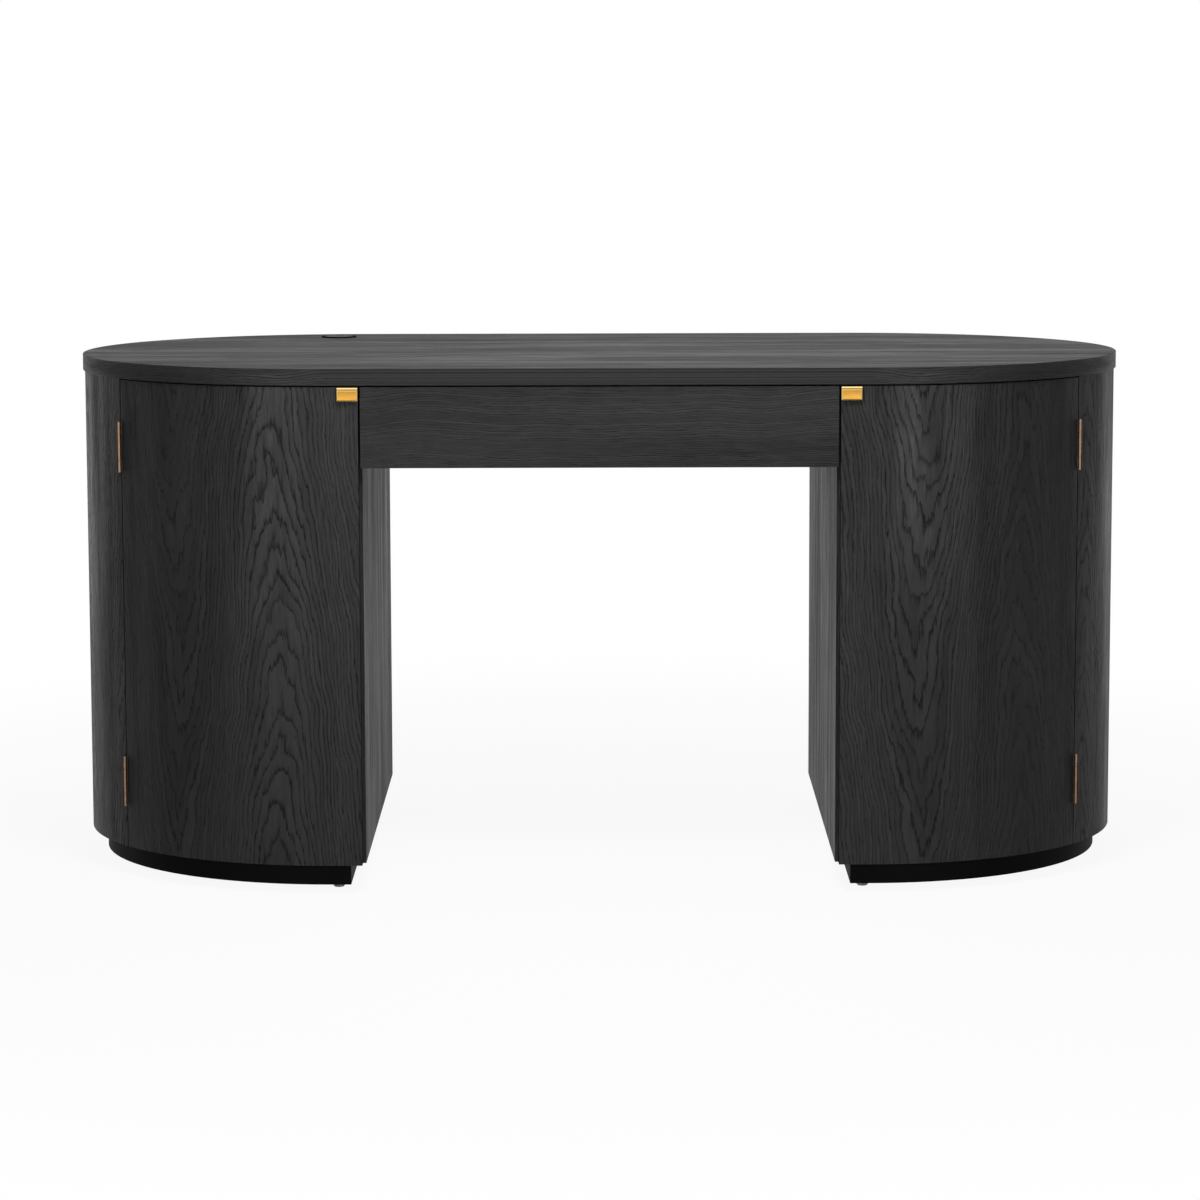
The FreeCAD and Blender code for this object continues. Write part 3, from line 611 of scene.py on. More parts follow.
def metal(name, hex_colour, roughness, stroke, spread, dull):
    """A metal with fine marks along one direction and a duller film.

    Its edge attribute is above 0 where a highlight is painted on, and below 0 where painted shade, or grime in the
    hinges' joints, darkens it.
    """
    material, tree = new_material(name)
    place = add(tree, "ShaderNodeTexCoord").outputs["Object"]
    edge = add(tree, "ShaderNodeAttribute", attribute_name="edge").outputs["Fac"]
    strokes = noise_on(tree, place, stroke, 3.0)
    film = noise_on(tree, place, (7 * MM,) * 3, 3.0, 4.0)
    bright = linear(hex_colour)
    # The lighter colour of the painted highlights
    highlit = [level**0.6 for level in bright]
    marked = sum_of(tree, 0.0, (film, 0.5), (strokes, 0.5))
    colour = add(tree, "ShaderNodeValToRGB", [marked], [(0.36, darker(bright, dull)), (0.6, bright)])
    # A colour mix takes its share on socket 0 and its colours on 6 and 7, and gives output 2
    painted_light = {0: edge, 6: colour, 7: highlit}
    highlighted = add(tree, "ShaderNodeMix", painted_light, data_type="RGBA", clamp_factor=False)
    # Below 0 the edge attribute darkens the colour: painted shade, and grime in the hinges' joints
    dirt_and_shade = {0: sum_of(tree, 0.0, (edge, -1.0)), 6: highlighted.outputs[2], 7: darker(bright, 0.25)}
    dirty_and_shaded = add(tree, "ShaderNodeMix", dirt_and_shade, data_type="RGBA")
    inputs = {
        "Base Color": dirty_and_shaded.outputs[2],
        "Metallic": 1.0,
        "Roughness": sum_of(tree, roughness, (strokes, spread)),
    }
    finish_surface(tree, inputs, strokes, depth=0.02 * MM, strength=0.5)
    return material


def moulded_plastic(name, hex_colour, roughness, texture, gloss=0.5):
    """Injection-moulded plastic with a fine sparked texture and slightly uneven gloss."""
    material, tree = new_material(name)
    place = add(tree, "ShaderNodeTexCoord").outputs["Object"]
    sparked = noise_on(tree, place, (texture,) * 3, 1.0)
    uneven = noise_on(tree, place, (12 * MM,) * 3)
    inputs = {
        "Base Color": linear(hex_colour),
        "Roughness": sum_of(tree, roughness, (uneven, 0.14)),
        "Specular IOR Level": gloss,
    }
    finish_surface(tree, inputs, sparked, depth=0.03 * MM, strength=0.5)
    return material


def make_materials(finishes):
    """Every finish of the desk, under the names that the pieces use."""
    return {
        # Crown cut: narrow leaves with nested arches, as on the doors and the bent panels
        "crown_ash": ash_veneer(
            "black_ash_crown_cut", finishes, leaf=170 * MM, flare=900 * MM * MM, point=50 * MM,
            peak=55 * MM, drift=4.2, line=1.0, tone=0.3, seed=8.5,
        ),
        # Straight cut: the boards whose lines run even and quiet
        "straight_ash": ash_veneer(
            "black_ash_straight_cut", finishes, leaf=3.0, flare=5800 * MM * MM, point=1.0,
            peak=0.7, drift=2.6, line=0.6, tone=0.3, seed=4.0,
        ),
        "painted_board": painted_board(finishes),
        "birch": pale_wood("lacquered_birch", finishes.birch, seed=2.0, fleck=0.1),
        "beech": pale_wood("plain_beech", finishes.beech, seed=7.0, fleck=0.4),
        # Strip brass, brushed along the pull on a belt and lacquered: long fine lines, a bright satin
        "brushed_brass": metal(
            "brushed_brass", finishes.brass, roughness=0.16,
            stroke=(14 * MM, 0.5 * MM, 0.5 * MM), spread=0.12, dull=0.9,
        ),
        # Brass darkened in a bath and waxed: brown and dull, with a soft lengthwise rub
        "antique_brass": metal(
            "antique_brass", finishes.old_brass, roughness=0.42,
            stroke=(0.8 * MM, 0.8 * MM, 5 * MM), spread=0.16, dull=0.75,
        ),
        # Rolled steel under bright zinc: cool grey, with drawing marks along the slides
        "zinc": metal(
            "zinc_plated_steel", finishes.zinc, roughness=0.26,
            stroke=(1.5 * MM, 12 * MM, 1.5 * MM), spread=0.14, dull=0.82,
        ),
        # ABS, satin on the lid and quite matt on the ring round it
        "black_plastic": moulded_plastic(
            "black_moulded_plastic", finishes.plastic, roughness=0.42, texture=0.6 * MM, gloss=0.1
        ),
        "matt_plastic": moulded_plastic(
            "black_matt_plastic", finishes.plastic, roughness=0.72, texture=0.6 * MM, gloss=0.02
        ),
        # Unfilled nylon, smooth and pale
        "nylon": moulded_plastic("white_nylon", finishes.nylon, roughness=0.4, texture=1.4 * MM),
        # ABS dyed a warm black
        "catch_plastic": moulded_plastic(
            "brown_moulded_plastic", finishes.catch, roughness=0.42, texture=0.7 * MM
        ),
    }


materials = {}
trees = {}


def settings():
    """The desk's sizes as the scene holds them."""
    return bpy.context.scene.desk_sizes


def quarter(steps):
    """The angles of a quarter turn in this many steps."""
    return [math.pi / 2 * step / steps for step in range(steps + 1)]


def arc(centre, radius, first, last, step):
    """Plan points round a centre; angles are counted from the front, anticlockwise."""
    count = max(2, round(abs(last - first) / step))
    turns = [first + (last - first) * number / count for number in range(count + 1)]
    return [
        (centre[0] + radius * math.sin(turn), centre[1] - radius * math.cos(turn)) for turn in turns
    ]


def bent_rows(side, radius, thickness, ends, front_x=None, back_x=None):
    """Plan points of a bent board's outer and inner face, which run on flat to any x given here."""
    first, last = ends(radius)
    count = round((last - first) / settings().arc_step)
    rows = []
    for reach in (radius, radius - thickness):
        first, last = ends(reach)
        row = arc((CENTRE_X, 0), reach, first, last, (last - first) / count)
        if front_x is not None:
            row.insert(0, (front_x, -reach))
        if back_x is not None:
            row.append((back_x, reach))
        rows.append([(x * side, y) for x, y in row])
    return rows


def bent_board(outer, inner, low, high):
    """A board between two rows of plan points that face each other."""
    bm = bmesh.new()
    rows = [
        [bm.verts.new((x, y, z)) for x, y in points] for z in (low, high) for points in (outer, inner)
    ]
    for first, second in ((0, 1), (1, 3), (3, 2), (2, 0)):
        for number in range(len(outer) - 1):
            near = [rows[first][number], rows[first][number + 1]]
            bm.faces.new([*near, rows[second][number + 1], rows[second][number]])
    for number in (0, -1):
        bm.faces.new([rows[row][number] for row in (0, 1, 3, 2)])
    bmesh.ops.recalc_face_normals(bm, faces=bm.faces)
    return bm


def prism(points, low, high, corner):
    """A solid of one closed outline; corner gives the place of an outline point at a height."""
    bm = bmesh.new()
    rings = [[bm.verts.new(corner(point, level)) for point in points] for level in (low, high)]
    for ring in rings:
        bm.faces.new(ring)
    for number in range(len(points)):
        after = (number + 1) % len(points)
        bm.faces.new((rings[0][number], rings[0][after], rings[1][after], rings[1][number]))
    bmesh.ops.recalc_face_normals(bm, faces=bm.faces)
    return bm


def upright(point, level):
    """A corner of a prism that stands on a plan outline."""
    return (*point, level)


def crosswise(point, level):
    """A corner of a prism along X whose outline is given as Y and Z."""
    return (level, *point)


def turned(profile, centre, sides):
    """A piece turned about an upright axis, from a closed profile of radius and height."""
    bm = bmesh.new()
    rings = []
    for number in range(sides):
        turn = 2 * math.pi * number / sides
        spots = [
            (centre[0] + radius * math.cos(turn), centre[1] + radius * math.sin(turn), z)
            for radius, z in profile
        ]
        rings.append([bm.verts.new(spot) for spot in spots])
    for number in range(sides):
        ring, following = rings[number], rings[(number + 1) % sides]
        for place in range(len(profile)):
            after = (place + 1) % len(profile)
            if profile[place][0] == 0 and profile[after][0] == 0:
                continue
            bm.faces.new((ring[place], ring[after], following[after], following[place]))
    bmesh.ops.remove_doubles(bm, verts=bm.verts, dist=TOUCHING)
    bmesh.ops.recalc_face_normals(bm, faces=bm.faces)
    return bm


def joined(node):
    """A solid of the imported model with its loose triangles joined."""
    bm = bmesh.new()
    bm.from_mesh(frame["nodes"][node].data)
    bmesh.ops.remove_doubles(bm, verts=bm.verts, dist=TOUCHING)
    return bm


def merged(node):
    """A joined solid with its flat faces made whole."""
    bm = joined(node)
    bmesh.ops.dissolve_limit(
        bm,
        angle_limit=FLAT,
        verts=bm.verts,
        edges=bm.edges,
        use_dissolve_boundaries=False,
    )
    return bm


def solids_of(node):
    """The low and high corners of each separate solid of a node."""
    bm = joined(node)
    left = set(bm.verts)
    boxes = []
    while left:
        found = {left.pop()}
        edge = set(found)
        while edge:
            near = {other for vert in edge for link in vert.link_edges for other in link.verts}
            edge = near - found
            found |= edge
        left -= found
        corners = [vert.co for vert in found]
        low, high = (
            Vector([pick(co[axis] for co in corners) for axis in range(3)]) for pick in (min, max)
        )
        boxes.append((low, high))
    bm.free()
    return sorted(boxes, key=lambda pair: tuple(pair[0]))


def gathered(parts):
    """Several bmeshes as one."""
    whole = bmesh.new()
    for part in parts:
        mesh = bpy.data.meshes.new("part")
        part.to_mesh(mesh)
        part.free()
        whole.from_mesh(mesh)
        bpy.data.meshes.remove(mesh)
    return whole


def in_scene(name, mesh):
    """An object of this mesh, linked to the scene."""
    made = bpy.data.objects.new(name, mesh)
    bpy.context.collection.objects.link(made)
    return made


def as_object(name, bm):
    """A bmesh as an object in the scene."""
    mesh = bpy.data.meshes.new(name)
    bm.to_mesh(mesh)
    bm.free()
    return in_scene(name, mesh)


def drop(thing):
    """Takes a scratch object and its mesh away."""
    mesh = thing.data
    bpy.data.objects.remove(thing)
    bpy.data.meshes.remove(mesh)


def applied(thing):
    """The plain mesh that an object's modifiers make of it."""
    graph = bpy.context.evaluated_depsgraph_get()
    return bpy.data.meshes.new_from_object(
        thing.evaluated_get(graph), preserve_all_data_layers=True, depsgraph=graph
    )


def worked(name, bm, easing=0.0, cutters=(), segments=2, crease=CREASE):
    """A mesh with its recesses cut, its edges eased and its curved faces shaded smooth."""
    blank = as_object(name + "_blank", bm)
    tools = [as_object(name + "_cutter", cutter) for cutter in cutters]
    for tool in tools:
        recess = blank.modifiers.new("recess", "BOOLEAN")
        recess.object = tool
        recess.operation = "DIFFERENCE"
        recess.solver = "EXACT"
    mesh = applied(blank)
    for thing in (blank, *tools):
        drop(thing)
    mesh.polygons.foreach_set("use_smooth", [True] * len(mesh.polygons))
    mesh.set_sharp_from_angle(angle=crease)
    if easing:
        shaped = in_scene(name + "_eased", mesh)
        bevel = shaped.modifiers.new("easing", "BEVEL")
        bevel.width = easing
        bevel.segments = segments
        bevel.limit_method = "ANGLE"
        bevel.angle_limit = crease
        bevel.harden_normals = True
        mesh = applied(shaped)
        drop(shaped)
    mesh.name = name
    return mesh


def outward_share(co, normal, side):
    """How squarely a face of a bent board looks out of its pedestal, or into it."""
    x = co.x * side - CENTRE_X
    if x <= 0:
        return abs(normal.y)
    return abs(x * side * normal.x + co.y * normal.y) / math.hypot(x, co.y)


def lay_flat(across, along, shift=(0, 0)):
    """Where a point of a flat board lies in its sheet; each edge has a strip that runs along it."""
    thickness = 3 - across - along
    order = {
        thickness: (across, along, thickness),
        across: (thickness, along, across),
        along: (thickness, across, along),
    }

    def lay(co, normal):
        facing = max(range(3), key=lambda axis: abs(normal[axis]))
        first, second, third = order[facing]
        return (co[first] + shift[0], co[second] + shift[1], co[third])

    return lay


def lay_round(side, shift=(0, 0)):
    """Where a point of a bent board lies in its sheet, which runs round the pedestal."""

    def lay(co, normal):
        x = co.x * side - CENTRE_X
        if x > 0:
            run = BODY_RADIUS * math.atan2(x, -co.y)
            depth = BODY_RADIUS - math.hypot(x, co.y)
        else:
            run = x if co.y < 0 else BODY_RADIUS * math.pi - x
            depth = BODY_RADIUS - abs(co.y)
        if abs(normal.z) > UPWARDS:
            return (depth + shift[0], run, co.z)
        if outward_share(co, normal, side) < OUTWARDS:
            return (depth + shift[0], co.z + shift[1], run)
        return (run + shift[0], co.z + shift[1], depth)

    return lay


def lay_top(shift):
    """Where a point of the desktop lies in its sheet; the edge has a strip that runs round it."""

    def lay(co, normal):
        if abs(normal.z) > TOP_UPWARDS:
            return (co.y + shift[0], co.x + shift[1], co.z)
        run = lay_round(1 if co.x > 0 else -1)(co, normal.to_2d().to_3d().normalized())[0]
        return (co.z, run, 0.0)

    return lay


def mark(mesh, name, kind, value):
    """Writes a value at each corner of a mesh, from the corner's place and its face."""
    field = "vector" if kind == "FLOAT_VECTOR" else "value"
    layer = mesh.attributes.new(name, kind, "CORNER")
    for face in mesh.polygons:
        for corner in face.loop_indices:
            co = mesh.vertices[mesh.loops[corner].vertex_index].co
            setattr(layer.data[corner], field, value(co, face))


def mark_seam_shade(mesh, side):
    """Marks the ends of a bent board, with their eased edges, where the seams are painted black as shade."""

    def cut_end(co, face):
        outward = outward_share(face.center, face.normal, side)
        return float(outward < EASED_OUTWARDS and abs(face.normal.z) < OUTWARDS)

    mark(mesh, "cut_end", "FLOAT", cut_end)


def piece(mesh, body, finish, nodes=(), lay=None):
    """A finished piece: it rides on a body and stands for the solids that it replaces."""
    if lay:
        mark(mesh, "grain", "FLOAT_VECTOR", lambda co, face: lay(co, face.normal))
    mesh.materials.clear()
    mesh.materials.append(materials[finish])
    made = in_scene(mesh.name, mesh)
    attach(made, body)
    if nodes:
        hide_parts(*nodes)
    return made


def dress(node, finish, easing=0.0, lay=None, crease=CREASE):
    """A finished copy of a solid whose shape is already right: merged, eased and shaded smooth."""
    mesh = worked(node + "_finished", merged(node), easing, crease=crease)
    return piece(mesh, BODY_OF[node], finish, [node], lay)


def box_cutter(low, high, turn=Matrix.Identity(4)):
    """A box from corner to corner, turned into place, to cut with."""
    bm = bmesh.new()
    spans = list(zip(low, high))
    corners = [turn @ Vector((x, y, z)) for x in spans[0] for y in spans[1] for z in spans[2]]
    made = bmesh.ops.convex_hull(bm, input=[bm.verts.new(corner) for corner in corners])
    bmesh.ops.delete(bm, geom=made["geom_interior"], context="VERTS")
    bmesh.ops.recalc_face_normals(bm, faces=bm.faces)
    return bm


def rod_cutter(radius, start, end, sides=72):
    """A cylinder from point to point, to cut with."""
    start, end = Vector(start), Vector(end)
    turn = (end - start).to_track_quat("Z", "Y").to_matrix().to_4x4()
    points = arc((0, 0), radius, 0, 2 * math.pi, 2 * math.pi / sides)[:-1]
    bm = prism(points, 0, (end - start).length, upright)
    bm.transform(Matrix.Translation(start) @ turn)
    return bm


def hinge_frames(side):
    """The frames of a door's hinges: pin on Z, X across the hinge plane and Y running inwards."""
    flip = Matrix.Diagonal((side, 1, 1, 1))
    low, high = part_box("hinge_pins_right")
    return [
        flip @ Matrix.Translation((HINGE.x, HINGE.y, z)) @ Matrix.Rotation(HINGE_ANGLE, 4, "Z")
        for z in (low.z, high.z - settings().hinge_length)
    ]


def mortise_cutters(side):
    """The recesses of a door's hinge leaves, which run across the hinge plane."""
    sizes = settings()
    low = (-sizes.mortise_depth, 0, 0)
    high = (sizes.mortise_depth, sizes.leaf_reach, sizes.hinge_length)
    return [box_cutter(low, high, turn) for turn in hinge_frames(side)]


def hinge_end(radius, aside):
    """The angle at which a bent face of this radius ends beside the hinge plane."""
    return HINGE_ANGLE + math.asin(aside / radius)


def new_tree(name, sockets):
    """An empty geometry tree with these named sockets, its last one given back, and its inputs."""
    tree = bpy.data.node_groups.new(name, "GeometryNodeTree")
    for place, (label, kind) in enumerate(sockets):
        way = "OUTPUT" if place == len(sockets) - 1 else "INPUT"
        tree.interface.new_socket(label, in_out=way, socket_type="NodeSocket" + kind)
    return tree, tree.nodes.new("NodeGroupInput").outputs


def screw_tree():
    """Sets a screw on each point, facing the way that the point's attribute says, at a random turn."""
    tree, given = new_tree(
        "set_screws",
        (
            ("Points", "Geometry"),
            ("Screw", "Object"),
            ("Size", "Float"),
            ("Seed", "Int"),
            ("Finish", "Material"),
            ("Screws", "Geometry"),
        ),
    )
    facing = add(tree, "GeometryNodeInputNamedAttribute", {"Name": "facing"}, data_type="FLOAT_VECTOR")
    aligned = add(tree, "FunctionNodeAlignRotationToVector", {"Vector": facing}, axis="Z")
    range_of_turns = {"Min": (0.0, 0.0, 0.0), "Max": (0.0, 0.0, math.pi), "Seed": given["Seed"]}
    chance = add(tree, "FunctionNodeRandomValue", range_of_turns, data_type="FLOAT_VECTOR")
    both = {"Rotation": aligned, "Rotate By": chance}
    turned_by = add(tree, "FunctionNodeRotateRotation", both, rotation_space="LOCAL")
    screw = add(tree, "GeometryNodeObjectInfo", {"Object": given["Screw"]})
    placing = {
        "Points": given["Points"],
        "Instance": screw.outputs["Geometry"],
        "Rotation": turned_by,
        "Scale": given["Size"],
    }
    placed = add(tree, "GeometryNodeInstanceOnPoints", placing)
    real = add(tree, "GeometryNodeRealizeInstances", {"Geometry": placed})
    finished = add(tree, "GeometryNodeSetMaterial", {"Geometry": real, "Material": given["Finish"]})
    add(tree, "NodeGroupOutput", [finished])
    return tree


def ball_tree():
    """Runs a row of balls along Y from each point."""
    tree, given = new_tree(
        "run_balls",
        (
            ("Starts", "Geometry"),
            ("Count", "Int"),
            ("Pitch", "Float"),
            ("Radius", "Float"),
            ("Finish", "Material"),
            ("Balls", "Geometry"),
        ),
    )
    step = add(tree, "ShaderNodeCombineXYZ", {"Y": given["Pitch"]})
    row = add(tree, "GeometryNodeMeshLine", {"Count": given["Count"], "Offset": step})
    ball = add(tree, "GeometryNodeMeshIcoSphere", {"Radius": given["Radius"], "Subdivisions": 3})
    balls = add(tree, "GeometryNodeInstanceOnPoints", {"Points": row, "Instance": ball})
    rows = add(tree, "GeometryNodeInstanceOnPoints", {"Points": given["Starts"], "Instance": balls})
    real = add(tree, "GeometryNodeRealizeInstances", {"Geometry": rows})
    smooth = add(tree, "GeometryNodeSetShadeSmooth", {"Geometry": real})
    finished = add(tree, "GeometryNodeSetMaterial", {"Geometry": smooth, "Material": given["Finish"]})
    add(tree, "NodeGroupOutput", [finished])
    return tree


def run_tree(tree, name, points, values, facings=()):
    """Runs a tree on a cloud of points and gives the plain mesh that it makes."""
    mesh = bpy.data.meshes.new(name)
    mesh.from_pydata([tuple(point) for point in points], [], [])
    if facings:
        facing = mesh.attributes.new("facing", "FLOAT_VECTOR", "POINT")
        for item, way in zip(facing.data, facings):
            item.vector = way
    carrier = in_scene(name + "_points", mesh)
    modifier = carrier.modifiers.new(tree.name, "NODES")
    modifier.node_group = tree
    for socket in tree.interface.items_tree:
        if socket.item_type == "SOCKET" and socket.name in values:
            modifier[socket.identifier] = values[socket.name]
    made = applied(carrier)
    carrier.modifiers.remove(modifier)
    drop(carrier)
    made.name = name
    return made


def screw_head():
    """A countersunk cross-recess head of unit radius, its face at Z = 0, with a short neck below."""
    reach, thin, deep, over = screw_cross_shares
    arms = [
        box_cutter((-x, -y, -deep), (x, y, over)) for x, y in ((reach, thin), (thin, reach))
    ]
    head = turned(screw_profile_shares, (0, 0), sides=28)
    return in_scene("screw_head", worked("screw_head", head, cutters=arms))


def set_screws(name, body, finish, places, radius, seed):
    """Screws on a body, each given as its place and the way that its head faces."""
    head = screw_head()
    values = {"Screw": head, "Size": radius, "Seed": seed, "Finish": materials[finish]}
    spots, facings = zip(*places)
    mesh = run_tree(trees["screws"], name, spots, values, facings)
    drop(head)
    return piece(mesh, body, finish)


class DESK_OT_finishes(bpy.types.Operator):
    """Makes the finishes and the trees that set screws and balls, and gives the plinth blocks, which stay as they
    are, their paint
    """

    bl_idname = "desk.finishes"
    bl_label = "Finishes"

    def execute(self, context):
        materials.update(make_materials(context.scene.desk_finishes))
        trees["screws"] = screw_tree()
        trees["balls"] = ball_tree()
        for slot in frame["nodes"]["plinth_blocks"].material_slots:
            slot.material = materials["painted_board"]
        return {"FINISHED"}


class DESK_OT_desktop(bpy.types.Operator):
    """Makes the oval desktop with its eased edge and the hole for the grommet"""

    bl_idname = "desk.desktop"
    bl_label = "Desktop"

    def execute(self, context):
        sizes = settings()
        outline = arc((CENTRE_X, 0), TOP_RADIUS, 0, math.pi, sizes.arc_step)
        outline += arc((-CENTRE_X, 0), TOP_RADIUS, math.pi, 2 * math.pi, sizes.arc_step)
        low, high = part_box("grommet_liner")
        x, y, _ = (low + high) / 2
        start = (x, y, TOP_LOW.z - TOP_HIGH.z)
        hole = rod_cutter(sizes.grommet_hole_radius, start, (x, y, TOP_HIGH.z * 2))
        slab = prism(outline, TOP_LOW.z, TOP_HIGH.z, upright)
        mesh = worked("oval_desktop", slab, sizes.top_easing, [hole], segments=3)
        piece(mesh, "carcass", "straight_ash", ["desktop"], lay_top(shift=(0.7, 0.3)))
        return {"FINISHED"}


class DESK_OT_grommet(bpy.types.Operator):
    """Turns the cable grommet and its notched lid"""

    bl_idname = "desk.grommet"
    bl_label = "Grommet"

    def execute(self, context):
        low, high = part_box("grommet_liner")
        lid_low, lid_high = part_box("grommet_cap")
        centre = ((low.x + high.x) / 2, (low.y + high.y) / 2)
        flange = (high.x - low.x) / 2
        outer = settings().grommet_hole_radius - GROMMET_PLAY
        lid = (lid_high.x - lid_low.x) / 2
        recess = lid + GROMMET_PLAY
        ledge = recess - GROMMET_LEDGE
        soft = GROMMET_ROUNDING
        profile = [
            (ledge, low.z),
            (outer, low.z),
            (outer, TOP_HIGH.z),
            (flange, TOP_HIGH.z),
            (flange, high.z - soft),
            (flange - soft / 3, high.z - soft / 3),
            (flange - soft, high.z),
            (recess + soft / 2, high.z),
            (recess, high.z - soft / 2),
            (recess, lid_low.z),
            (ledge, lid_low.z),
        ]
        mesh = worked("grommet_ring", turned(profile, centre, sides=128))
        piece(mesh, "carcass", "matt_plastic", ["grommet_liner"])
        corners = [(0, lid_low.z), (lid, lid_low.z), (lid, lid_high.z), (0, lid_high.z)]
        x, y = centre[0], centre[1] + ledge
        start = (x, y, lid_low.z - LID_NOTCH_RADIUS)
        notch = rod_cutter(LID_NOTCH_RADIUS, start, (x, y, lid_high.z + LID_NOTCH_RADIUS))
        mesh = worked("grommet_lid", turned(corners, centre, sides=96), LID_EASING, [notch])
        piece(mesh, "cap", "black_plastic", ["grommet_cap"])
        return {"FINISHED"}


class DESK_OT_pedestals(bpy.types.Operator):
    """Makes the boards of the pedestals, the shelves and the rear apron"""

    bl_idname = "desk.pedestals"
    bl_label = "Pedestals"

    def execute(self, context):
        sizes = settings()
        low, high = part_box("curved_panel_right")
        gap = sizes.hinge_gap / 2
        for name, side in SIDES.items():
            outer, inner = bent_rows(
                side,
                BODY_RADIUS,
                sizes.board_thickness,
                lambda radius: (hinge_end(radius, gap), math.pi),
                back_x=low.x,
            )
            cutters = mortise_cutters(side)
            if name == "left":
                x = -CENTRE_X - sizes.outlet_offset
                start = (x, BODY_RADIUS * 2, sizes.outlet_height)
                cutters.append(rod_cutter(sizes.outlet_radius, start, (x, 0, sizes.outlet_height)))
            blank = bent_board(outer, inner, low.z, high.z)
            mesh = worked(f"bent_panel_{name}", blank, sizes.front_easing, cutters)
            mark_seam_shade(mesh, side)
            sheet = lay_round(side, shift=(0.05 + side, 0.1))
            piece(mesh, "carcass", "crown_ash", [f"curved_panel_{name}"], sheet)
            for board, easing, sheet in (
                ("inner_panel", sizes.front_easing, lay_flat(1, 2, shift=(0.7, 0.4 * side))),
                ("hinge_stile", sizes.board_easing, lay_flat(0, 2)),
                ("top_panel", sizes.board_easing, lay_flat(0, 1, shift=(0, 0.2 * side))),
                ("bottom_panel", sizes.board_easing, lay_flat(0, 1, shift=(0, 0.2 * side))),
                ("shelf", sizes.board_easing, lay_flat(0, 1, shift=(0, 0.2 * side))),
            ):
                dress(f"{board}_{name}", "straight_ash", easing, sheet)
        dress("rear_apron", "straight_ash", sizes.front_easing, lay_flat(2, 0, shift=(0.1, 0.1)))
        dress("shelf_pins", "zinc", sizes.metal_easing, crease=ROUND_PART_CREASE)
        dress("carcass_dowels", "beech", lay=lay_flat(0, 2), crease=ROUND_PART_CREASE)
        return {"FINISHED"}


class DESK_OT_plinths(bpy.types.Operator):
    """Makes the recessed plinths and the domed glides under them"""

    bl_idname = "desk.plinths"
    bl_label = "Plinths and glides"

    def execute(self, context):
        sizes = settings()
        low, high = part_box("plinth_curved_right")
        for name, side in SIDES.items():
            outer, inner = bent_rows(
                side,
                high.y,
                sizes.plinth_thickness,
                lambda radius: (0, math.pi),
                front_x=low.x,
                back_x=low.x,
            )
            board = bent_board(outer, inner, low.z, high.z)
            mesh = worked(f"bent_plinth_{name}", board, sizes.board_easing)
            piece(mesh, "carcass", "painted_board", [f"plinth_curved_{name}"])
            dress(f"plinth_inner_{name}", "painted_board", sizes.board_easing)
        glides = gathered(self.glide(*corners) for corners in solids_of("glides"))
        piece(worked("domed_glides", glides), "carcass", "nylon", ["glides"])
        return {"FINISHED"}

    def glide(self, low, high):
        """A glide with a domed foot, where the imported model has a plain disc."""
        radius = (high.x - low.x) / 2
        dome = radius * glide_dome_share
        foot = [
            (radius - dome * (1 - math.sin(turn)), low.z + dome * (1 - math.cos(turn)))
            for turn in quarter(steps=6)
        ]
        profile = [(0, low.z), *foot, (radius, high.z), (0, high.z)]
        return turned(profile, ((low.x + high.x) / 2, (low.y + high.y) / 2), sides=40)


class DESK_OT_doors(bpy.types.Operator):
    """Makes the bent doors with their hinge mortises and the recesses of their pulls"""

    bl_idname = "desk.doors"
    bl_label = "Doors"

    def execute(self, context):
        sizes = settings()
        low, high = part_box("door_right")
        pull_low, pull_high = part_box("pull_right")
        gap = sizes.hinge_gap / 2
        # How far round the sheet each door is cut, so that their arches differ
        sheet_starts = {"right": 0.18, "left": 0.01}

        for name, side in SIDES.items():
            outer, inner = bent_rows(
                side,
                BODY_RADIUS,
                sizes.board_thickness,
                lambda radius: (0, hinge_end(radius, -gap)),
                front_x=low.x,
            )
            flip = Matrix.Diagonal((side, 1, 1, 1))
            recess_top = pull_high.z - sizes.pull_thickness
            start = (pull_low.x - sizes.board_thickness, -TOP_RADIUS * 2, recess_top)
            recess = box_cutter(start, (pull_high.x, pull_high.y, TOP_HIGH.z), flip)
            board = bent_board(outer, inner, low.z, high.z)
            cutters = [*mortise_cutters(side), recess]
            mesh = worked(f"bent_door_{name}", board, sizes.front_easing, cutters)
            mark_seam_shade(mesh, side)
            sheet = lay_round(side, shift=(sheet_starts[name], 0.0))
            piece(mesh, f"{name}_door", "crown_ash", [f"door_{name}"], sheet)
        return {"FINISHED"}


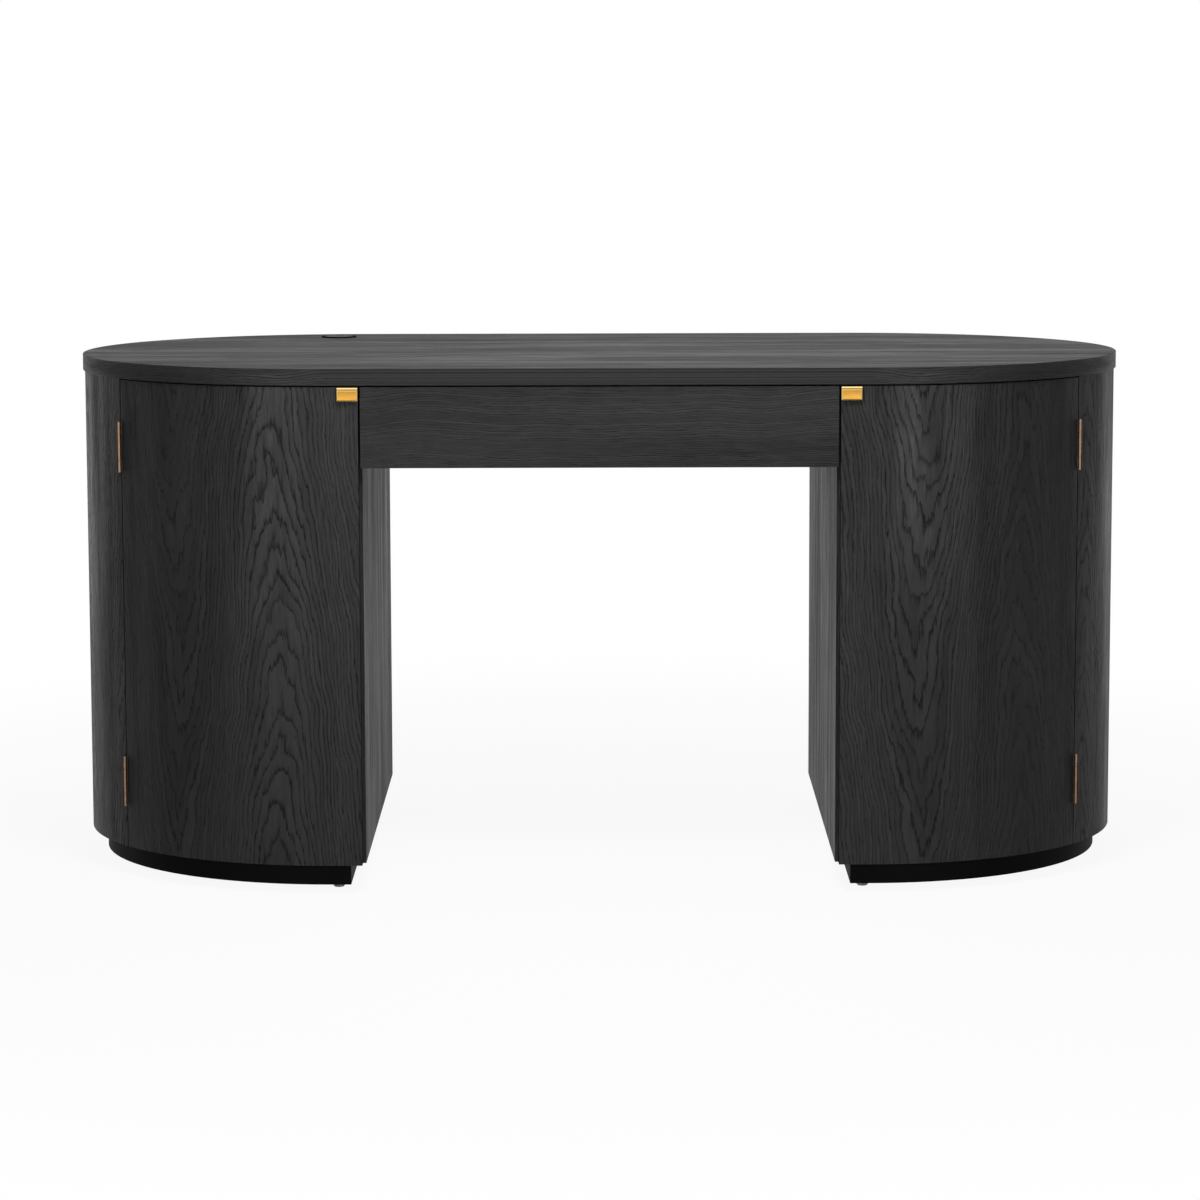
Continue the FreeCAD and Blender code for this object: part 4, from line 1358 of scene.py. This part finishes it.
class DESK_OT_pulls(bpy.types.Operator):
    """Bends the brass pulls, frames their faces with a bevel and screws them down"""

    bl_idname = "desk.pulls"
    bl_label = "Pulls"

    def execute(self, context):
        sizes = settings()
        low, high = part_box("pull_right")
        thick = sizes.pull_thickness
        bend = sizes.pull_bend_radius
        groove = sizes.pull_groove
        bend_y, bend_z = low.y + bend, high.z - bend
        outer_arc, inner_arc = (
            [
                (bend_y - radius * math.cos(turn), bend_z + radius * math.sin(turn))
                for turn in quarter(steps=8)
            ]
            for radius in (bend, bend - thick)
        )
        hollow = [
            (low.y, bend_z),
            (low.y + groove / 2, bend_z - groove / 2),
            (low.y, bend_z - groove),
        ]
        outline = [(low.y, low.z), (low.y + thick, low.z), *inner_arc]
        outline += [(high.y, high.z - thick), (high.y, high.z), *outer_arc[:0:-1], *hollow]

        def painted_light(co, face):
            """Painted highlight on the bend and the bevels, and painted shade in the groove."""
            if max(abs(level) for level in face.normal) > SQUARE:
                return 0.0
            if face.center.z > bend_z:
                return 2.0
            return -1.0 if face.center.z > bend_z - groove else 1.0

        for name, side in SIDES.items():
            blank = prism(outline, *sorted((low.x * side, high.x * side)), crosswise)
            self.frame_face(blank, low.z)
            mesh = worked(f"brass_pull_{name}", blank, sizes.metal_easing / 2)
            mark(mesh, "edge", "FLOAT", painted_light)
            piece(mesh, f"{name}_door", "brushed_brass", [f"pull_{name}"])
            y = high.y - PULL_SCREW_INSET
            spots = [(low.x + (high.x - low.x) * share) * side for share in pair_shares]
            places = [((x, y, high.z), (0, 0, 1)) for x in spots]
            screws = f"pull_screws_{name}"
            set_screws(screws, f"{name}_door", "brushed_brass", places, PULL_SCREW_RADIUS, seed=3)
        return {"FINISHED"}

    def frame_face(self, bm, foot):
        """Rounds the lower corners of a pull and frames its face with a bevel."""
        sizes = settings()
        corners = [
            edge
            for edge in bm.edges
            if all(vert.co.z < foot + TOUCHING for vert in edge.verts)
            and abs(edge.verts[0].co.x - edge.verts[1].co.x) < TOUCHING
        ]
        shape = {"affect": "EDGES", "profile": 0.5}
        bmesh.ops.bevel(bm, geom=corners, offset=sizes.pull_corner, segments=4, **shape)
        bm.normal_update()
        fronts = [face for face in bm.faces if face.normal.y < -SQUARE]
        face = max(fronts, key=lambda face: face.calc_area())
        edges = list(face.edges)
        bmesh.ops.bevel(bm, geom=edges, offset=sizes.pull_chamfer, segments=1, **shape)


class DESK_OT_hinges(bpy.types.Operator):
    """Finishes the butt hinges, and sets the screws of their leaves"""

    bl_idname = "desk.hinges"
    bl_label = "Hinges"

    def execute(self, context):
        sizes = settings()
        low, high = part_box("hinge_pins_right")
        barrel = (high.x - low.x) / 2 * barrel_share
        for name, side in SIDES.items():
            pin = Vector((HINGE.x * side, HINGE.y))
            outwards = Vector((math.sin(HINGE_ANGLE) * side, -math.cos(HINGE_ANGLE)))

            def painted_light(co, face):
                """A painted highlight along one side of the barrel, painted shade over the rest of it, and dark
                joints at the knuckles' eased ends.
                """
                offset = co.to_2d() - pin
                if offset.length > barrel:
                    return 0.0
                if SLANTED < abs(face.normal.z) < SQUARE:
                    return -1.0
                turn = outwards.angle_signed(offset, 0.0) * side - sizes.hinge_highlight_turn
                # A painted highlight band round the given turn, and painted shade over the rest of the barrel
                return BARREL_HIGHLIGHT * max(0.0, math.cos(turn)) ** 2 - BARREL_SHADE

            for group in ("hinge_fixed_leaves", "hinge_door_leaves", "hinge_pins"):
                node = f"{group}_{name}"
                blank = merged(node)
                easing = sizes.knuckle_easing
                mesh = worked(node + "_finished", blank, easing, crease=ROUND_PART_CREASE)
                mark(mesh, "edge", "FLOAT", painted_light)
                piece(mesh, BODY_OF[node], "antique_brass", [node])
            for body, way in (("carcass", 1), (f"{name}_door", -1)):
                places = []
                for turn in hinge_frames(side):
                    facing = turn.to_3x3() @ Vector((-way, 0, 0))
                    for share, reach in zip(leaf_screw_length_shares, leaf_screw_reach_shares):
                        spot = (LEAF_FACE * way, sizes.leaf_reach * reach, sizes.hinge_length * share)
                        places.append((turn @ Vector(spot), facing))
                screws = f"hinge_screws_{body}_{name}"
                set_screws(screws, body, "antique_brass", places, sizes.screw_head_radius, seed=5)
        return {"FINISHED"}


class DESK_OT_catches(bpy.types.Operator):
    """Finishes the magnetic catches and their strike plates"""

    bl_idname = "desk.catches"
    bl_label = "Catches"

    def execute(self, context):
        sizes = settings()
        for name in SIDES:
            dress(f"door_catch_{name}", "catch_plastic", sizes.board_easing)
            dress(f"strike_plate_{name}", "zinc", sizes.metal_easing)
            low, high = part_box(f"door_catch_{name}")
            poles = []
            for share in pair_shares:
                pole_low = low.z + (high.z - low.z) * share - POLE_THICKNESS / 2
                start = (low.x + POLE_MARGIN, low.y - POLE_PROUD, pole_low)
                end = (high.x - POLE_MARGIN, low.y + POLE_THICKNESS, pole_low + POLE_THICKNESS)
                poles.append(box_cutter(start, end))
            mesh = worked(f"catch_poles_{name}", gathered(poles), sizes.metal_easing / 2)
            piece(mesh, "carcass", "zinc")
            low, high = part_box(f"strike_plate_{name}")
            places = [
                ((low.x + (high.x - low.x) * share, high.y, (low.z + high.z) / 2), (0, 1, 0))
                for share in pair_shares
            ]
            screws = f"strike_screws_{name}"
            set_screws(screws, f"{name}_door", "zinc", places, STRIKE_SCREW_RADIUS, seed=9)
        return {"FINISHED"}


class DESK_OT_drawer(bpy.types.Operator):
    """Makes the drawer front with its finger cove, and finishes the birch box"""

    bl_idname = "desk.drawer"
    bl_label = "Drawer"

    def execute(self, context):
        sizes = settings()
        low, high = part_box("drawer_front")
        cove = sizes.cove_radius
        hollow = [
            (high.y - cove * math.cos(turn), low.z + cove * math.sin(turn))
            for turn in quarter(steps=10)
        ]
        outline = [(low.y, low.z), *hollow, (high.y, high.z), (low.y, high.z)]
        board = prism(outline, low.x, high.x, crosswise)
        mesh = worked("coved_drawer_front", board, sizes.front_easing)
        sheet = lay_flat(2, 0, shift=(0, 0.2))
        piece(mesh, "drawer", "straight_ash", ["drawer_front"], sheet)
        for node, along in (
            ("drawer_box_front", 0),
            ("drawer_back", 0),
            ("drawer_side_left", 1),
            ("drawer_side_right", 1),
        ):
            dress(node, "birch", sizes.board_easing, lay_flat(2, along, shift=(0.1 * along, 0.3)))
        dress("drawer_bottom", "birch", sizes.board_easing, lay_flat(0, 1))
        dress("drawer_front_dowels", "beech", lay=lay_flat(0, 1), crease=ROUND_PART_CREASE)
        return {"FINISHED"}


class DESK_OT_slides(bpy.types.Operator):
    """Finishes the telescopic slides and fills their cages with balls"""

    bl_idname = "desk.slides"
    bl_label = "Drawer slides"

    def execute(self, context):
        sizes = settings()
        for name in SIDES:
            for member in ("cabinet", "middle", "drawer"):
                dress(f"slide_{member}_member_{name}", "zinc", crease=ROUND_PART_CREASE)
        pitch = sizes.ball_pitch
        strip = RETAINER_THICKNESS / 2
        for cages in ("slide_outer_cages", "slide_inner_cages"):
            starts = []
            retainers = []
            for low, high in solids_of(cages):
                middle = (low + high) / 2
                gaps = int((high.y - low.y - sizes.ball_diameter) / pitch)
                starts.append((middle.x, middle.y - gaps * pitch / 2, middle.z))
                ends = [(x, y, middle.z + z) for x, y, z in ((*low.xy, -strip), (*high.xy, strip))]
                retainers.append(box_cutter(*ends))
            strips = worked(cages + "_strips", gathered(retainers), RETAINER_THICKNESS / 5)
            piece(strips, BODY_OF[cages], "zinc", [cages])
            values = {
                "Count": gaps + 1,
                "Pitch": pitch,
                "Radius": sizes.ball_diameter / 2,
                "Finish": materials["zinc"],
            }
            balls = run_tree(trees["balls"], cages + "_balls", starts, values)
            piece(balls, BODY_OF[cages], "zinc")
        return {"FINISHED"}


class DESK_OT_stage(bpy.types.Operator):
    """Sets the white floor and room, the soft lamps and the camera"""

    bl_idname = "desk.stage"
    bl_label = "Stage"

    def execute(self, context):
        stage = context.scene.desk_stage
        self.light_room(stage)
        self.lay_floor(stage)
        for name, size, place, missing in LAMPS:
            self.hang_lamp(name + "_lamp", getattr(stage, name + "_light"), size, place, missing)
        for label, side in SIDES.items():
            for name, size, (x, y, z), missing in SIDE_LAMPS:
                power = getattr(stage, name + "_light")
                self.hang_lamp(f"{label}_{name}_lamp", power, size, (x * side, y, z), missing)
        camera_data = bpy.data.cameras.new("desk_camera")
        camera_data.sensor_width = SENSOR_WIDTH
        camera_data.lens = stage.lens
        camera_data.clip_end = CAMERA_REACH
        camera = bpy.data.objects.new("desk_camera", camera_data)
        context.collection.objects.link(camera)
        place = Matrix.Translation((0, -stage.camera_distance, stage.camera_height))
        tilt = Matrix.Rotation(math.pi / 2 - stage.camera_tilt, 4, "X")
        camera.matrix_world = place @ tilt @ Matrix.Rotation(stage.camera_roll, 4, "Z")
        context.scene.camera = camera
        context.scene.view_settings.view_transform = "Standard"
        return {"FINISHED"}

    def seen(self, tree):
        """1 for rays that see or mirror the studio, and 0 for rays that light the desk."""
        path = add(tree, "ShaderNodeLightPath").outputs
        total = path["Is Camera Ray"]
        for ray in ("Is Glossy Ray", "Is Transmission Ray"):
            total = add(tree, "ShaderNodeMath", [total, path[ray]], operation="MAXIMUM")
        return total

    def light_room(self, stage):
        """A white room that shows as white and gives a softer even light."""
        world = bpy.data.worlds.new("white_room")
        world.use_nodes = True
        tree = world.node_tree
        tree.nodes.clear()
        level = sum_of(tree, stage.room_light, (self.seen(tree), 1 - stage.room_light))
        white = add(tree, "ShaderNodeBackground", {"Color": grey(1.0), "Strength": level})
        add(tree, "ShaderNodeOutputWorld", {"Surface": white})
        bpy.context.scene.world = world

    def lay_floor(self, stage):
        """A white floor that keeps a soft part of the shadow near the desk and ends in the white room."""
        material, tree = new_material("white_floor")
        paint = add(tree, "ShaderNodeBsdfDiffuse", {"Color": grey(0.9)})
        glow = add(tree, "ShaderNodeEmission", {"Color": grey(1.0), "Strength": 1.0})
        place = add(tree, "ShaderNodeTexCoord").outputs["Object"]
        away = add(tree, "ShaderNodeVectorMath", [place], operation="LENGTH").outputs["Value"]
        fade = {
            "Value": away,
            "From Min": TOP_HIGH.x,
            "From Max": TOP_HIGH.x * 3,
            "To Min": 1 - stage.floor_shade,
            "To Max": 1.0,
        }
        white = add(tree, "ShaderNodeMapRange", fade, interpolation_type="SMOOTHSTEP")
        amount = sum_of(tree, 0.0, (self.seen(tree), white))
        mixed = add(tree, "ShaderNodeMixShader", [amount, paint, glow])
        add(tree, "ShaderNodeOutputMaterial", {"Surface": mixed})
        corners = ((-1, -1), (1, -1), (1, 1), (-1, 1))
        bm = bmesh.new()
        bm.faces.new([bm.verts.new((x * FLOOR_REACH, y * FLOOR_REACH, 0)) for x, y in corners])
        floor = as_object("studio_floor", bm)
        floor.data.materials.append(material)

    def hang_lamp(self, name, power, size, place, missing):
        """A soft lamp that looks at the middle of the desk; the camera and missing rays don't see it."""
        data = bpy.data.lights.new(name, "AREA")
        data.energy = power
        data.shape = "RECTANGLE"
        data.size, data.size_y = size
        lamp = bpy.data.objects.new(name, data)
        bpy.context.collection.objects.link(lamp)
        aim = Vector((0, 0, TOP_HIGH.z / 2)) - Vector(place)
        turn = aim.to_track_quat("-Z", "Y").to_matrix().to_4x4()
        lamp.matrix_world = Matrix.Translation(place) @ turn
        lamp.visible_camera = False
        if missing:
            setattr(lamp, "visible_" + missing, False)


class DESK_PT_panel(bpy.types.Panel):
    """Lists the desk's pieces, sizes and finishes in the sidebar"""

    bl_idname = "DESK_PT_panel"
    bl_label = "Executive desk"
    bl_space_type = "VIEW_3D"
    bl_region_type = "UI"
    bl_category = "Desk"

    def draw(self, context):
        for maker in OPERATORS:
            self.layout.operator(maker.bl_idname)
        for name in GROUPS:
            group = getattr(context.scene, name)
            box = self.layout.box()
            for label in group.bl_rna.properties.keys():
                if label not in ("rna_type", "name"):
                    box.prop(group, label)


OPERATORS = (
    DESK_OT_finishes,
    DESK_OT_desktop,
    DESK_OT_grommet,
    DESK_OT_pedestals,
    DESK_OT_plinths,
    DESK_OT_doors,
    DESK_OT_pulls,
    DESK_OT_hinges,
    DESK_OT_catches,
    DESK_OT_drawer,
    DESK_OT_slides,
    DESK_OT_stage,
)
GROUPS = {"desk_sizes": DeskSizes, "desk_finishes": DeskFinishes, "desk_stage": DeskStage}


def register():
    """Registers the property groups, the operators and the panel."""
    for name, group in GROUPS.items():
        bpy.utils.register_class(group)
        setattr(bpy.types.Scene, name, PointerProperty(type=group))
    for maker in OPERATORS:
        bpy.utils.register_class(maker)
    bpy.utils.register_class(DESK_PT_panel)


def unregister():
    """Takes back what register did."""
    bpy.utils.unregister_class(DESK_PT_panel)
    for maker in reversed(OPERATORS):
        bpy.utils.unregister_class(maker)
    for name, group in GROUPS.items():
        delattr(bpy.types.Scene, name)
        bpy.utils.unregister_class(group)


def main():
    """Makes every piece in order."""
    register()
    for maker in OPERATORS:
        group, name = maker.bl_idname.split(".")
        getattr(getattr(bpy.ops, group), name)()


if __name__ == "__main__":
    main()
